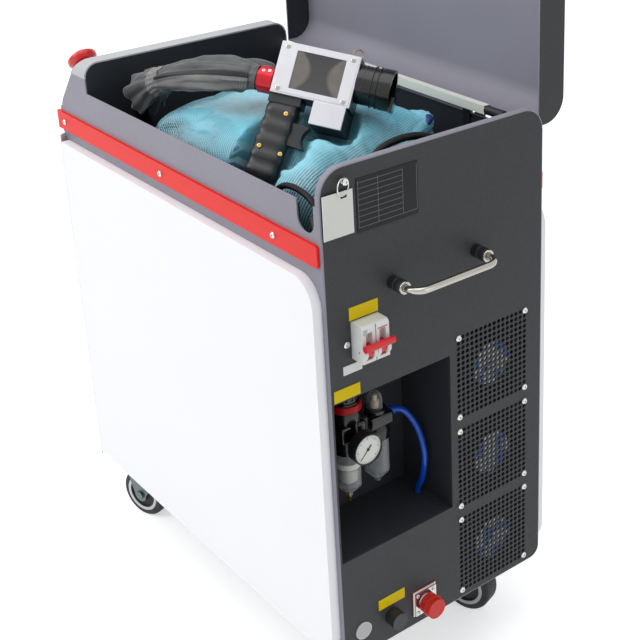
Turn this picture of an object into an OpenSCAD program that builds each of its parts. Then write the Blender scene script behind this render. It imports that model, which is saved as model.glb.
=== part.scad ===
// Mobile laser cleaning machine: a sheet-metal trolley on four swivel casters, with an open lid over a
// storage tray, a control console in front and a service panel behind.
// X runs along the cabinet with the service panel at +X, Y runs across it, Z is up, the floor is z = 0.
// Everything is drawn in cabinet coordinates (x = 0 at the service panel's face, y = 0 at the near side
// plate's face, z = 0 under the cabinet) and moved to the floor by placed().

/* [Cabinet] */
// Length from the front cover to the service panel
body_l = 612; // [560:1:700]
// Width over the two side plates
body_w = 315; // [300:1:360]
// Height without the casters
body_h = 620; // [600:1:680]
// Thickness of the side plates and the tray sheet
sheet = 2; // [1.5:0.1:3]
// Thickness of the service panel
panel_t = 2.5; // [2:0.1:3]
// Depth of the rim folded back from the panel's top edge
rim_depth = 7.5; // [6:0.5:9]
// Corner radius at the top of the service panel and along the lid
top_r = 30; // [20:1:34]
// Drop from the cabinet's top to the side sills
sill_drop = 40; // [36:1:50]
// Depth of the removable side covers
cover_t = 12; // [8:0.5:16]
// Width of the cable notch in the near sill
notch_w = 30; // [22:1:36]
// Depth of the cable notch
notch_d = 34; // [26:1:44]

/* [Console] */
// Length of the console behind the front cover
console_l = 87; // [80:1:100]
// Length of the console's flat top
console_top_l = 24; // [20:1:34]
// Corner radius across the console
console_r = 20; // [14:1:28]
// Diameter of the emergency stop button
estop_d = 40; // [36:1:44]
// Travel of the emergency stop button
estop_travel = 4; // [3:0.5:5]

/* [Tray and lid] */
// Depth of the tray below the sills
tray_depth = 150; // [140:1:165]
// Thickness of the lid's sheet
lid_t = 2; // [1.5:0.1:3]
// Opening angle of the lid as it stands
lid_open = 90; // [90:1:95]

/* [Service panel] */
// Width of the recess for the air unit
niche_w = 165; // [160:1:170]
// Height of the recess
niche_h = 208; // [200:1:212]
// Depth of the recess
niche_depth = 93; // [90:1:110]
// Distance between a fan's mounting holes
fan_pitch = 105; // [105:0.5:105.5]
// Height from one fan to the next
fan_step = 125; // [122:1:126]
// Diameter of one grille hole
grille_d = 8; // [6:0.5:9]
// Grille holes along one side of a fan's field
grille_n = 10; // [8:1:11]
// Distance between the legs of the pull handle
handle_w = 120; // [100:1:128]
// Reach of the pull handle in front of the panel
handle_reach = 40; // [34:1:50]
// Diameter of the pull handle's bar
handle_d = 12; // [8:0.5:14]

/* [Casters] */
// Height of the casters
caster_h = 100; // [100:1:110]
// Diameter of the caster wheels
wheel_d = 75; // [70:1:76]
// Width of the caster wheels
wheel_w = 27; // [22:1:28]
// Turn of the casters about their pivots as they stand
caster_turn = 18; // [0:1:30]

/* [Cleaning gun] */
// Width of the gun's screen box
gun_w = 94; // [88:1:100]
// Height of the screen box
gun_h = 61; // [56:1:66]
// Depth of the screen box
gun_depth = 45; // [38:1:50]
// Diameter of the lens tube
lens_d = 46; // [40:1:50]
// Travel of the trigger
trigger_travel = 3; // [2:0.5:4]
// Diameter of the umbilical hose
hose_d = 18; // [14:1:19]

/* [Hidden] */
$fn = 48;

// Shared clearances
eps = 1;
fit = 0.3;
run_fit = 0.05;
sill_z = body_h - sill_drop;
inner_x = -body_l + sheet + fit;
screw_d = 8;
screw_h = 2.5;
screw_hole = 4.2;

// Console section
console_x = -(body_l - console_l);
console_front_z = body_h - 64;
slant_top_x = console_x - console_top_l;
slant_foot_x = -(body_l - 8);
slant_foot_z = body_h - 64;
front_top_z = body_h - 79;
slant_a = atan2(body_h - slant_foot_z, slant_top_x - slant_foot_x);

// Origin of the finished part: floor level, middle of the box around it
hinge_off = 6;
hinge_up = 5;
hinge_y = body_w + hinge_off;
hinge_z = sill_z + hinge_up;
estop_proud = 33;
estop_y = 33;
estop_x = (slant_foot_x + slant_top_x) / 2;
estop_z = (slant_foot_z + body_h) / 2;
trim_t = 4;
x_low = min(-body_l - trim_t, estop_x - estop_proud * sin(slant_a) - estop_d / 2 * cos(slant_a));
x_high = handle_reach + handle_d / 2;
y_low = -cover_t;
y_high = hinge_y + body_h - hinge_z;
origin_x = (x_low + x_high) / 2;
origin_y = (y_low + y_high) / 2;

module placed() {
    translate([-origin_x, -origin_y, caster_h]) children();
}

// A plate in the YZ plane, from x to x + t, with rounded corners
module plate_x(x, t, y0, y1, z0, z1, r_top, r_low) {
    translate([x, 0, 0]) rotate([90, 0, 90]) linear_extrude(t) round_rect(y0, y1, z0, z1, r_top, r_low);
}

module round_rect(y0, y1, z0, z1, r_top, r_low) {
    translate([y0 + r_low, z0]) square([y1 - y0 - 2 * r_low, r_low]);
    translate([y0, z0 + r_low]) square([y1 - y0, z1 - z0 - r_low - r_top]);
    translate([y0 + r_top, z1 - r_top]) square([y1 - y0 - 2 * r_top, r_top]);
    for (y = [y0 + r_low, y1 - r_low]) translate([y, z0 + r_low]) circle(r_low);
    for (y = [y0 + r_top, y1 - r_top]) translate([y, z1 - r_top]) circle(r_top);
}

// Points drawn in a cabinet of this height, kept at the same distance below its top
drawn_h = 620;
function lifted(points) = [for (p = points) p + [0, 0, body_h - drawn_h]];

// A cylinder along +X from a point
module rod_x(p, d, l) {
    translate(p) rotate([0, 90, 0]) cylinder(d = d, h = l);
}

// A cylinder along +Y from a point
module rod_y(p, d, l) {
    translate(p) rotate([-90, 0, 0]) cylinder(d = d, h = l);
}

// The cabinet's sheet metal
pan_t = 3;
foot_r = 15;

// A shallow pan with rounded lower edges, closed behind by the service panel
module base_pan() {
    x0 = inner_x;
    x1 = -panel_t;
    color("dimgray") placed() difference() {
        plate_x(x0, x1 - x0, 0, body_w, 0, 3 * foot_r, eps, foot_r);
        plate_x(x0 + pan_t, x1 - x0, pan_t, body_w - pan_t, pan_t, 4 * foot_r, eps, foot_r - pan_t);
        translate([x0 - eps, -eps, foot_r]) cube([body_l, body_w + 2 * eps, 3 * foot_r]);
        for (c = caster_spots) for (i = [-1, 1], j = [-1, 1])
            translate([c[0] + i * plate_pitch_x / 2, c[1] + j * plate_pitch_y / 2, -eps])
                cylinder(d = bolt_hole, h = pan_t + 2 * eps);
    }
}

// Outline of a side plate: sills, raised rear corner, cable notch and raised console
notch_from_panel = 12;
module side_outline(notch) {
    x_rear = -panel_t;
    difference() {
        union() {
            translate([inner_x, foot_r]) square([-inner_x - panel_t, sill_z - sill_drop + eps - foot_r]);
            translate([console_x - eps, foot_r]) square([eps - console_x - panel_t, sill_z - foot_r]);
            translate([x_rear - rear_post_w, foot_r]) square([rear_post_w, body_h - top_r - foot_r]);
            polygon([
                [inner_x, sill_z - sill_drop], [inner_x, front_top_z],
                [slant_foot_x + sheet + fit, slant_foot_z],
                [slant_foot_x + sheet + (body_h - console_r - slant_foot_z) / tan(slant_a), body_h - console_r],
                [console_x, body_h - console_r], [console_x, sill_z - sill_drop]
            ]);
        }
        if (notch) {
            translate([-notch_from_panel - notch_w / 2, sill_z - notch_d + notch_w / 2]) circle(d = notch_w);
            translate([-notch_from_panel - notch_w, sill_z - notch_d + notch_w / 2])
                square([notch_w, notch_d]);
        }
    }
}

rear_post_w = rim_depth - panel_t;
module side_plate_near() {
    color([0.56, 0.55, 0.6]) placed()
        translate([0, sheet, 0]) rotate([90, 0, 0]) linear_extrude(sheet) side_outline(true);
}

module side_plate_far() {
    color([0.56, 0.55, 0.6]) placed()
        translate([0, body_w, 0]) rotate([90, 0, 0]) linear_extrude(sheet) side_outline(false);
}

// Service panel, with its three perforated fan fields
niche_y = 4;
niche_z = 141;
fan_y = body_w - 133;
fan_z = 12;
breaker_y = 31.7;
breaker_z = 397;
breaker_w = 36;
breaker_h = 44;
breaker_gap = 0.5;
grille_pitch = fan_pitch / (grille_n - 1);
power_y = 120.5;
power_z = 31;
power_hole_d = 26;
signal_y = 71;
signal_z = 34;
signal_hole_d = 16;
plug_y = 28.4;
plug_z = 35;
plug_hole_d = 18;

module grille_holes(z) {
    for (i = [0 : grille_n - 1], j = [0 : grille_n - 1])
        if (!((i == 0 || i == grille_n - 1) && (j == 0 || j == grille_n - 1)))
            rod_x([-panel_t - eps, fan_y + i * grille_pitch, z + j * grille_pitch],
                grille_d, panel_t + 2 * eps);
}

// Rim folded back round the panel's top corners
module top_rim() {
    difference() {
        plate_x(-rim_depth, rim_depth, 0, body_w, 0, body_h, top_r, foot_r);
        plate_x(-rim_depth - eps, rim_depth + 2 * eps, sheet, body_w - sheet, 0, body_h - sheet,
            top_r - sheet, foot_r);
        translate([-rim_depth - eps, -eps, -eps])
            cube([rim_depth + 2 * eps, body_w + 2 * eps, body_h - top_r + eps]);
    }
}

module service_panel() {
    color([0.2, 0.2, 0.21]) placed() difference() {
        union() {
            plate_x(-panel_t, panel_t, 0, body_w, 0, body_h, top_r, foot_r);
            top_rim();
        }
        translate([-panel_t - eps, niche_y, niche_z]) cube([panel_t + 2 * eps, niche_w, niche_h]);
        translate([-panel_t - eps, breaker_y - breaker_gap, breaker_z - breaker_gap])
            cube([panel_t + 2 * eps, breaker_w + 2 * breaker_gap, breaker_h + 2 * breaker_gap]);
        for (k = [0 : 2]) {
            grille_holes(fan_z + k * fan_step);
            for (i = [0, 1], j = [0, 1])
                rod_x([-panel_t - eps, fan_y + i * fan_pitch, fan_z + k * fan_step + j * fan_pitch],
                    screw_hole, panel_t + 2 * eps);
        }
        rod_x([-panel_t - eps, power_y, power_z], power_hole_d, panel_t + 2 * eps);
        rod_x([-panel_t - eps, signal_y, signal_z], signal_hole_d, panel_t + 2 * eps);
        rod_x([-panel_t - eps, plug_y, plug_z], plug_hole_d, panel_t + 2 * eps);
        for (y = handle_ys) rod_x([-panel_t - eps, y, handle_z], handle_bolt, panel_t + 2 * eps);
    }
}

// Front cover: a white sheet with rounded upright edges
front_r = 14;
front_h = body_h - 115;
front_wrap = 13;
module front_cover() {
    color("white") placed() linear_extrude(front_h) difference() {
        front_plan(0);
        front_plan(sheet);
        translate([-body_l + front_wrap, -body_w]) square([body_l, 3 * body_w]);
    }
}

module front_plan(inset) {
    r = front_r - inset;
    x0 = -body_l + inset;
    x1 = -body_l + front_wrap + 2 * eps;
    y0 = -cover_t + inset;
    y1 = body_w + cover_t - inset;
    translate([x0, y0 + r]) square([x1 - x0, y1 - y0 - 2 * r]);
    translate([x0 + r, y0]) square([x1 - x0 - r, y1 - y0]);
    for (y = [y0 + r, y1 - r]) translate([x0 + r, y]) circle(r);
}

// Console cover: front strip, slanted control face and flat top in one folded white sheet
strip_gap = 2;
module console_section(inset) {
    z0 = front_h + strip_gap;
    polygon([
        [-body_l + inset, z0], [-body_l + inset, front_top_z],
        [slant_foot_x + inset, slant_foot_z - inset / 2], [slant_top_x + inset / 2, body_h - inset],
        [console_x, body_h - inset], [console_x, z0]
    ]);
}

module console_cover() {
    color("white") placed() difference() {
        intersection() {
            translate([0, body_w, 0]) rotate([90, 0, 0]) linear_extrude(body_w) console_section(0);
            plate_x(-body_l - eps, console_l + 2 * eps, 0, body_w, 0, body_h, console_r, eps);
        }
        intersection() {
            translate([0, body_w, 0]) rotate([90, 0, 0]) linear_extrude(body_w)
                console_section(sheet);
            plate_x(-body_l, console_l + 2 * eps, sheet, body_w - sheet, 0, body_h - sheet,
                console_r - sheet, eps);
        }
        for (y = [-eps, body_w - sheet]) translate([-body_l + sheet, y, 0])
            cube([console_l, sheet + eps, body_h - console_r]);
        translate([estop_x, estop_y, estop_z]) rotate([0, -slant_a, 0]) translate([0, 0, -estop_d])
            cylinder(d = estop_hole_d, h = 2 * estop_d);
    }
}
estop_hole_d = 22.5;

// Side covers: shallow white pans with rounded corners
cover_x0 = -body_l + front_wrap + strip_gap / 2;
cover_x1 = -6;
cover_z0 = 6;
cover_z1 = front_h - 7;
cover_r = 35;
cover_rim = 3;

module cover_plan(inset) {
    x0 = cover_x0 + inset;
    x1 = cover_x1 - inset;
    z0 = cover_z0 + inset;
    z1 = cover_z1 - inset;
    r = cover_r - inset;
    translate([x0, z0]) square([x1 - x0 - r, z1 - z0]);
    translate([x1 - r, z0 + r]) square([r, z1 - z0 - 2 * r]);
    for (z = [z0 + r, z1 - r]) translate([x1 - r, z]) circle(r);
}

module side_cover() {
    difference() {
        rotate([90, 0, 0]) linear_extrude(cover_t) cover_plan(0);
        translate([0, eps, 0]) rotate([90, 0, 0]) linear_extrude(cover_t - sheet + eps) cover_plan(cover_rim);
    }
}

module side_covers() {
    color("white") placed() {
        side_cover();
        translate([0, body_w, 0]) mirror([0, 1, 0]) side_cover();
    }
}

// Red trim bars, turned round the front corner
trim_w = 25;
trim_z = front_h + 8;
trim_r = 3;
trim_end = 4;
trim_return = 22;
trim_screw_inset = 18;
trim_screw_xs = [-body_l + trim_screw_inset, -body_l / 2 - body_l / 24, -84.8];

module trim_outline() {
    x1 = -trim_end;
    translate([-body_l, trim_z]) square([body_l - trim_end - trim_r, trim_w]);
    translate([x1 - trim_r, trim_z + trim_r]) square([trim_r, trim_w - 2 * trim_r]);
    for (z = [trim_z + trim_r, trim_z + trim_w - trim_r]) translate([x1 - trim_r, z]) circle(trim_r);
}

module trim_bars() {
    color("red") placed() for (far = [0, 1]) difference() {
        union() {
            translate([0, far ? body_w + trim_t : 0, 0]) rotate([90, 0, 0]) linear_extrude(trim_t)
                trim_outline();
            translate([-body_l - trim_t, far ? body_w + trim_t - trim_return : -trim_t, trim_z])
                cube([trim_t, trim_return, trim_w]);
        }
        for (x = trim_screw_xs) rod_y([x, (far ? body_w : -trim_t) - eps, trim_z + trim_w / 2], screw_hole,
            trim_t + 2 * eps);
    }
}

// Pan-head screws, each a dome on a shank
module pan_screw(l) {
    difference() {
        union() {
            cylinder(d = screw_d, h = screw_h / 2);
            translate([0, 0, screw_h / 2]) cylinder(d1 = screw_d, d2 = screw_d * 0.7, h = screw_h / 2);
        }
        translate([0, 0, screw_h / 2]) cylinder(d = screw_d * 0.36, h = screw_h, $fn = 6);
    }
    translate([0, 0, -l]) cylinder(d = screw_hole - 2 * run_fit - 0.2, h = l + screw_h / 4);
}

tag_y = 27.6;
tag_screw_z = body_h - 14.7;
tag_shank_d = 3;
tag_shank_l = 8;
breaker_screw_y = 25;
breaker_screw_z = 416;
module panel_screws() {
    color("silver") placed() {
        for (x = trim_screw_xs) {
            translate([x, -trim_t, trim_z + trim_w / 2]) rotate([90, 0, 0]) pan_screw(trim_t);
            translate([x, body_w + trim_t, trim_z + trim_w / 2]) rotate([-90, 0, 0]) pan_screw(trim_t);
        }
        for (k = [0 : 2], i = [0, 1], j = [0, 1])
            translate([0, fan_y + i * fan_pitch, fan_z + k * fan_step + j * fan_pitch])
                rotate([0, 90, 0]) pan_screw(panel_t);
        translate([0, breaker_screw_y, breaker_screw_z]) rotate([0, 90, 0]) pan_screw(0);
        // Shouldered screw for the tag
        rod_x([0, tag_y, tag_screw_z], tag_shank_d, tag_shank_l);
        translate([tag_shank_l, tag_y, tag_screw_z]) rotate([0, 90, 0]) pan_screw(0);
    }
}

// Storage tray, whose front wall rises as the console's inner wall; a hump in its floor clears the breaker
tray_x1 = -10.5;
tray_z = sill_z - tray_depth;
tray_top_gap = 6;
hump_l = 48;
hump_w = 76;
hump_h = 35;
shelf_z = sill_z - 68;
shelf_w = 24;
module tray() {
    y0 = sheet;
    y1 = body_w - sheet;
    x0 = console_x - sheet;
    wall_top = sill_z - tray_top_gap;
    color([0.17, 0.18, 0.2]) placed() difference() {
        union() {
            difference() {
                translate([x0, y0, tray_z - sheet]) cube([tray_x1 - x0, y1 - y0, wall_top - tray_z + sheet]);
                translate([console_x, y0 + sheet, tray_z])
                    cube([tray_x1 - sheet - console_x, y1 - y0 - 2 * sheet, tray_depth]);
            }
            plate_x(x0, sheet, y0, y1, tray_z - sheet, body_h - sheet, console_r - sheet, sheet);
            translate([tray_x1 - hump_l, y0, tray_z - sheet]) cube([hump_l, hump_w + sheet, hump_h + sheet]);
            // Shelf for the notch's gland
            translate([-notch_from_panel - notch_w, y0 + sheet, shelf_z - sheet])
                cube([notch_w, shelf_w, sheet]);
        }
        translate([tray_x1 - hump_l + sheet, y0 + sheet, tray_z - sheet - eps])
            cube([hump_l + eps, hump_w - sheet, hump_h + sheet + eps - sheet]);
        // The near wall is cut away behind the cable notch
        translate([-notch_from_panel - notch_w, y0 - eps, sill_z - notch_d - eps])
            cube([notch_w, sheet + 2 * eps, notch_d + 2 * eps]);
        rod_x([x0 - eps, hose_in_y, gland_z], gland_thread_d + fit, sheet + 2 * eps);
        translate([notch_gland_x, notch_gland_y, shelf_z - sheet - eps])
            cylinder(d = lead_d + 2, h = sheet + 2 * eps);
    }
}

// Cable glands: one in the console's wall for the umbilical, one on the shelf at the notch
gland_thread_d = 25;
gland_d = 32;
gland_l = 16;
gland_z = tray_z + gland_d / 2 + eps;
hose_in_y = 82;
notch_gland_x = -27;
notch_gland_y = 15;
notch_gland_d = 16;
notch_gland_l = 46;
lead_d = 7;
module cable_glands() {
    x0 = console_x - sheet;
    color([0.08, 0.08, 0.09]) placed() {
        difference() {
            union() {
                rod_x([x0 - gland_l / 2, hose_in_y, gland_z], gland_thread_d, gland_l / 2 + sheet + eps);
                rod_x([console_x, hose_in_y, gland_z], gland_d * 0.85, gland_l * 0.6);
                rod_x([x0 - gland_l / 2, hose_in_y, gland_z], gland_d, gland_l / 2);
            }
            rod_x([x0 - gland_l, hose_in_y, gland_z], hose_d + 2 * fit, 3 * gland_l);
        }
        translate([notch_gland_x, notch_gland_y, shelf_z]) {
            cylinder(d = notch_gland_d + 4, h = notch_gland_l / 4);
            cylinder(d = notch_gland_d, h = notch_gland_l);
        }
    }
}

// Recess for the air unit, open at the service panel
niche_sheet = 1.5;
tube_x = -54;
tube_y = 159;
tube_d = 8;
module niche_box() {
    color([0.19, 0.19, 0.21]) placed() difference() {
        translate([-panel_t - niche_depth, niche_y - niche_sheet, niche_z - niche_sheet])
            cube([niche_depth, niche_w + 2 * niche_sheet, niche_h + 2 * niche_sheet]);
        translate([-panel_t - niche_depth + niche_sheet, niche_y, niche_z])
            cube([niche_depth, niche_w, niche_h]);
        translate([tube_x, tube_y, niche_z - niche_sheet - eps])
            cylinder(d = tube_d + 2 * fit, h = niche_sheet + 2 * eps);
    }
}

// Fans behind the grilles: a frame whose hub faces the grille, and a rotor on a short shaft
fan_t = 25;
fan_side = 119;
fan_bore = 114;
hub_d = 58;
hub_t = 4;
shaft_d = 6;
shaft_l = 3;
blade_n = 7;
blade_t = 1.5;
blade_a = 35;
blade_gap = 1.5;
strut_w = 6;
fan_x = -panel_t - fan_t;
fan_cy = fan_y + fan_pitch / 2;
function fan_cz(k) = fan_z + k * fan_step + fan_pitch / 2;

module fan_frame() {
    difference() {
        union() {
            difference() {
                translate([0, -fan_side / 2, -fan_side / 2]) cube([fan_t, fan_side, fan_side]);
                rod_x([-eps, 0, 0], fan_bore, fan_t + 2 * eps);
            }
            rod_x([fan_t - hub_t, 0, 0], hub_d, hub_t);
            for (a = [45, 135]) rotate([a, 0, 0])
                translate([fan_t - hub_t, -strut_w / 2, -fan_bore / 2 - eps])
                    cube([hub_t, strut_w, fan_bore + 2 * eps]);
        }
        rod_x([fan_t - hub_t - eps, 0, 0], shaft_d + 2 * run_fit, shaft_l + fit + eps);
        for (i = [-1, 1], j = [-1, 1])
            rod_x([-eps, i * fan_pitch / 2, j * fan_pitch / 2], screw_hole, fan_t + 2 * eps);
    }
}

module fan_frames() {
    color([0.1, 0.1, 0.11]) placed() for (k = [0 : 2]) translate([fan_x, fan_cy, fan_cz(k)]) fan_frame();
}

module fan_rotor(k) {
    blade_l = fan_bore / 2 - blade_gap - hub_d / 2 + eps;
    rotor_t = fan_t - hub_t - fit;
    color([0.14, 0.16, 0.2]) placed() translate([fan_x, fan_cy, fan_cz(k)]) {
        rod_x([fit, 0, 0], hub_d, rotor_t - fit);
        rod_x([rotor_t - eps, 0, 0], shaft_d, shaft_l + eps);
        for (i = [0 : blade_n - 1]) rotate([i * 360 / blade_n, 0, 0])
            translate([rotor_t / 2, 0, hub_d / 2 - eps]) rotate([0, 0, blade_a])
                translate([-rotor_t / 2, -blade_t / 2, 0]) cube([rotor_t, blade_t, blade_l]);
    }
}

// Circuit breaker on its rail, and the linked toggle
breaker_nose = 20;
breaker_back = 44;
breaker_lap = 18;
seam_w = 0.8;
breaker_round = 5;
toggle_x = 13;
toggle_z = breaker_z + 12;
toggle_hub_d = 17;
toggle_gap = 0.4;
bar_d = 8;
bar_over = 1.5;
pin_fit_d = 3;
boss_over = 4;
bar_x = toggle_x + 13;
bar_z = toggle_z + 9;
lever_w = 8;

module breaker_body() {
    color([0.9, 0.9, 0.87]) placed() difference() {
        union() {
            translate([-panel_t, breaker_y, breaker_z])
                cube([breaker_nose + panel_t - breaker_round, breaker_w, breaker_h]);
            translate([-panel_t, breaker_y, breaker_z])
                cube([breaker_nose + panel_t, breaker_w, breaker_h - breaker_round]);
            rod_y([breaker_nose - breaker_round, breaker_y, breaker_z + breaker_h - breaker_round],
                2 * breaker_round, breaker_w);
            rod_y([toggle_x, breaker_y, toggle_z], toggle_hub_d + boss_over, breaker_w);
            translate([-breaker_back, breaker_y, breaker_z - breaker_lap])
                cube([breaker_back - panel_t, breaker_w, breaker_h + 2 * breaker_lap]);
        }
        // Two wells for the levers
        for (i = [0, 1]) translate([0, breaker_y + breaker_w / 4 + i * breaker_w / 2 - lever_w / 2 - fit, 0])
            rod_y([toggle_x, 0, toggle_z], toggle_hub_d + 2 * toggle_gap, lever_w + 2 * fit);
        for (i = [0, 1]) translate([toggle_x, breaker_y + breaker_w / 4 + i * breaker_w / 2 - lever_w / 2 - fit,
            toggle_z - toggle_hub_d / 2]) cube([toggle_hub_d, lever_w + 2 * fit, toggle_hub_d * 1.9]);
        translate([breaker_nose - seam_w, breaker_y + breaker_w / 2 - seam_w / 2, breaker_z - eps])
            cube([toggle_hub_d, seam_w, breaker_h]);
        rod_y([toggle_x, breaker_y - eps, toggle_z], pin_fit_d + 2 * run_fit, breaker_w + 2 * eps);
    }
}

module breaker_toggle() {
    color("red") placed() {
        rod_y([toggle_x, breaker_y + eps, toggle_z], pin_fit_d, breaker_w - 2 * eps);
        for (i = [0, 1]) {
            y = breaker_y + breaker_w / 4 + i * breaker_w / 2 - lever_w / 2;
            rod_y([toggle_x, y, toggle_z], toggle_hub_d, lever_w);
            translate([toggle_x, y, toggle_z]) rotate([0, -atan2(bar_z - toggle_z, bar_x - toggle_x), 0])
                translate([0, lever_w * 0.05, -bar_d * 0.35])
                    cube([norm([bar_x - toggle_x, bar_z - toggle_z]), lever_w * 0.9, bar_d * 0.7]);
        }
        rod_y([bar_x, breaker_y - bar_over, bar_z], bar_d, breaker_w + 2 * bar_over);
    }
}

rail_w = 35;
rail_h = 7.5;
rail_t = 1;
rail_l = 70;
rail_lip = 5;
module din_rail() {
    x0 = -breaker_back - rail_h;
    y0 = 2 * sheet;
    z = breaker_z + breaker_h / 2;
    color("silver") placed() {
        translate([x0, y0, z - rail_w / 2 + rail_lip]) cube([rail_t, rail_l, rail_w - 2 * rail_lip]);
        for (s = [-1, 1]) {
            translate([x0, y0, z + s * (rail_w / 2 - rail_lip) - rail_t / 2]) cube([rail_h, rail_l, rail_t]);
            translate([x0 + rail_h - rail_t, y0, z + s * (rail_w - rail_lip) / 2 - rail_lip / 2])
                cube([rail_t, rail_l, rail_lip]);
        }
        // Tab to the near side plate
        translate([x0, sheet, z - rail_w / 2 + rail_lip]) cube([rail_h, sheet, rail_w / 2]);
    }
}

// Pull handle: a round bar bent twice, with a ferrule at each foot
handle_y = 90;
handle_z = body_h - 150;
handle_bend = 16;
handle_bolt = 6.4;
ferrule_d = 19;
ferrule_l = 7;
handle_nut_d = 11;
handle_nut_l = 5;
handle_ys = [handle_y, handle_y + handle_w];
module pull_handle() {
    color("silver") placed() {
        for (y = handle_ys) {
            rod_x([0, y, handle_z], handle_d, handle_reach - handle_bend);
            rod_x([0, y, handle_z], ferrule_d, ferrule_l);
            rod_x([-panel_t - handle_nut_l, y, handle_z], handle_bolt - 2 * fit, panel_t + handle_nut_l + eps);
            rod_x([-panel_t - handle_nut_l, y, handle_z], handle_nut_d, handle_nut_l);
        }
        rod_y([handle_reach, handle_y + handle_bend, handle_z], handle_d, handle_w - 2 * handle_bend);
        translate([handle_reach - handle_bend, handle_y + handle_bend, handle_z])
            rotate([0, 0, -90]) rotate_extrude(angle = 90) translate([handle_bend, 0]) circle(d = handle_d);
        translate([handle_reach - handle_bend, handle_y + handle_w - handle_bend, handle_z])
            rotate_extrude(angle = 90) translate([handle_bend, 0]) circle(d = handle_d);
    }
}

// Air treatment unit in the recess: filter regulator, lubricator, gauge, bowls
frl_x = -62;
frl_y1 = 62;
frl_y2 = 104;
frl_z = 245;
frl_block_h = 50;
frl_block = 38;
bowl_d = 30;
bowl_wall = 2;
bowl1_l = 60;
bowl2_l = 58;
drain_d = 8;
drain_l = 8;
knob_d = 30;
knob_h = 28;
lock_h = 12;
flute_d = 3;
flute_n = 12;
dome_d = 16;
dome_h = 14;
dome_lift = 5;
fitting_l = 12;
gauge_d = 40;
gauge_l = 12;
gauge_z = frl_z + 14;
gauge_stem = 10;
fitting_d = 14;
port_d = 11.4;

bracket_t = 2;
bracket_w = 44;
link_l = 10;
port_l = 14;
port_z = frl_z + 20;
link_z = frl_z + 10;
link_h = 20;
frl_mid = (frl_y1 + frl_y2) / 2;
link_w = frl_y2 - frl_y1 - frl_block;

module frl_bracket() {
    x0 = -panel_t - niche_depth + niche_sheet;
    color([0.75, 0.75, 0.76]) placed() difference() {
        union() {
            translate([x0, frl_mid - bracket_w / 2, frl_z]) cube([bracket_t, bracket_w, frl_block_h]);
            translate([x0, frl_mid - link_w / 2 + fit, link_z])
                cube([frl_x - link_l - x0, link_w - 2 * fit, link_h]);
        }
        for (s = [-1, 1]) rod_x([x0 - eps, frl_mid + s * bracket_w / 3, frl_z + frl_block_h * 0.8],
            screw_hole, bracket_t + 2 * eps);
    }
}

module block_at(y, h) {
    translate([frl_x - frl_block / 2, y - frl_block / 2, frl_z]) cube([frl_block, frl_block, h]);
}

module air_unit() {
    block_h = frl_block_h - 8;
    color([0.07, 0.07, 0.08]) placed() {
        difference() {
            union() {
                block_at(frl_y1, block_h);
                translate([frl_x, frl_y1, frl_z]) cylinder(d = frl_block - bracket_t, h = frl_block_h);
            }
            // Inlet port on the left
            rod_y([frl_x, frl_y1 - frl_block / 2 - eps, port_z], port_d, port_l + eps);
        }
        // Coupling between filter regulator and lubricator
        translate([frl_x - link_l, frl_y1 + frl_block / 2, link_z]) cube([2 * link_l, link_w, link_h]);
        block_at(frl_y2, block_h);
        translate([frl_x, frl_y2, frl_z + block_h]) {
            dome_l = dome_lift + dome_h - dome_d / 2;
            cylinder(d = frl_block - 8, h = dome_lift);
            cylinder(d = dome_d, h = dome_l);
            translate([0, 0, dome_l]) sphere(d = dome_d);
        }
        // Push-in fitting in the outlet
        difference() {
            union() {
                rod_y([frl_x, frl_y2 + frl_block / 2, port_z], fitting_d + 2, fitting_l / 2);
                rod_y([frl_x, frl_y2 + frl_block / 2, port_z], fitting_d, fitting_l);
            }
            rod_y([frl_x, frl_y2 + frl_block / 2 + fitting_l / 2, port_z], tube_d + 2 * fit, fitting_l);
        }
    }
}

module regulator_knob() {
    color([0.07, 0.07, 0.08]) placed() translate([frl_x, frl_y1, frl_z + frl_block_h + fit]) {
        cylinder(d = knob_d + flute_d, h = lock_h);
        difference() {
            cylinder(d = knob_d, h = lock_h + knob_h);
            for (i = [0 : flute_n - 1]) rotate(i * 360 / flute_n) translate([knob_d / 2, 0, lock_h + flute_d])
                cylinder(d = flute_d, h = knob_h);
        }
    }
}

module bowl(l) {
    difference() {
        union() {
            translate([0, 0, -l + bowl_d / 4]) cylinder(d = bowl_d, h = l - bowl_d / 4);
            translate([0, 0, -l]) cylinder(d1 = bowl_d * 0.6, d2 = bowl_d, h = bowl_d / 4);
            translate([0, 0, -l - drain_l]) cylinder(d = drain_d, h = drain_l + eps);
        }
        translate([0, 0, -l + bowl_d / 4]) cylinder(d = bowl_d - 2 * bowl_wall, h = l);
        translate([0, 0, -l - drain_l - eps]) cylinder(d = drain_d / 2.5, h = bowl_d);
    }
}

module air_bowls() {
    color([0.8, 0.85, 0.9, 0.4]) placed() {
        translate([frl_x, frl_y1, frl_z]) bowl(bowl1_l);
        translate([frl_x, frl_y2, frl_z]) bowl(bowl2_l);
    }
}

gauge_x = frl_x + frl_block / 2;
gauge_rim = 2;
gauge_back = 3;
post_d = 3;
post_l = 5;
module gauge_case() {
    x0 = gauge_x + gauge_stem;
    color([0.07, 0.07, 0.08]) placed() {
        rod_x([gauge_x, frl_y1, gauge_z], gauge_stem, gauge_stem);
        difference() {
            rod_x([x0, frl_y1, gauge_z], gauge_d, gauge_l);
            rod_x([x0 + gauge_back, frl_y1, gauge_z], gauge_d - 2 * gauge_rim, gauge_l);
        }
        rod_x([x0, frl_y1, gauge_z], post_d, gauge_back + post_l);
    }
}

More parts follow.
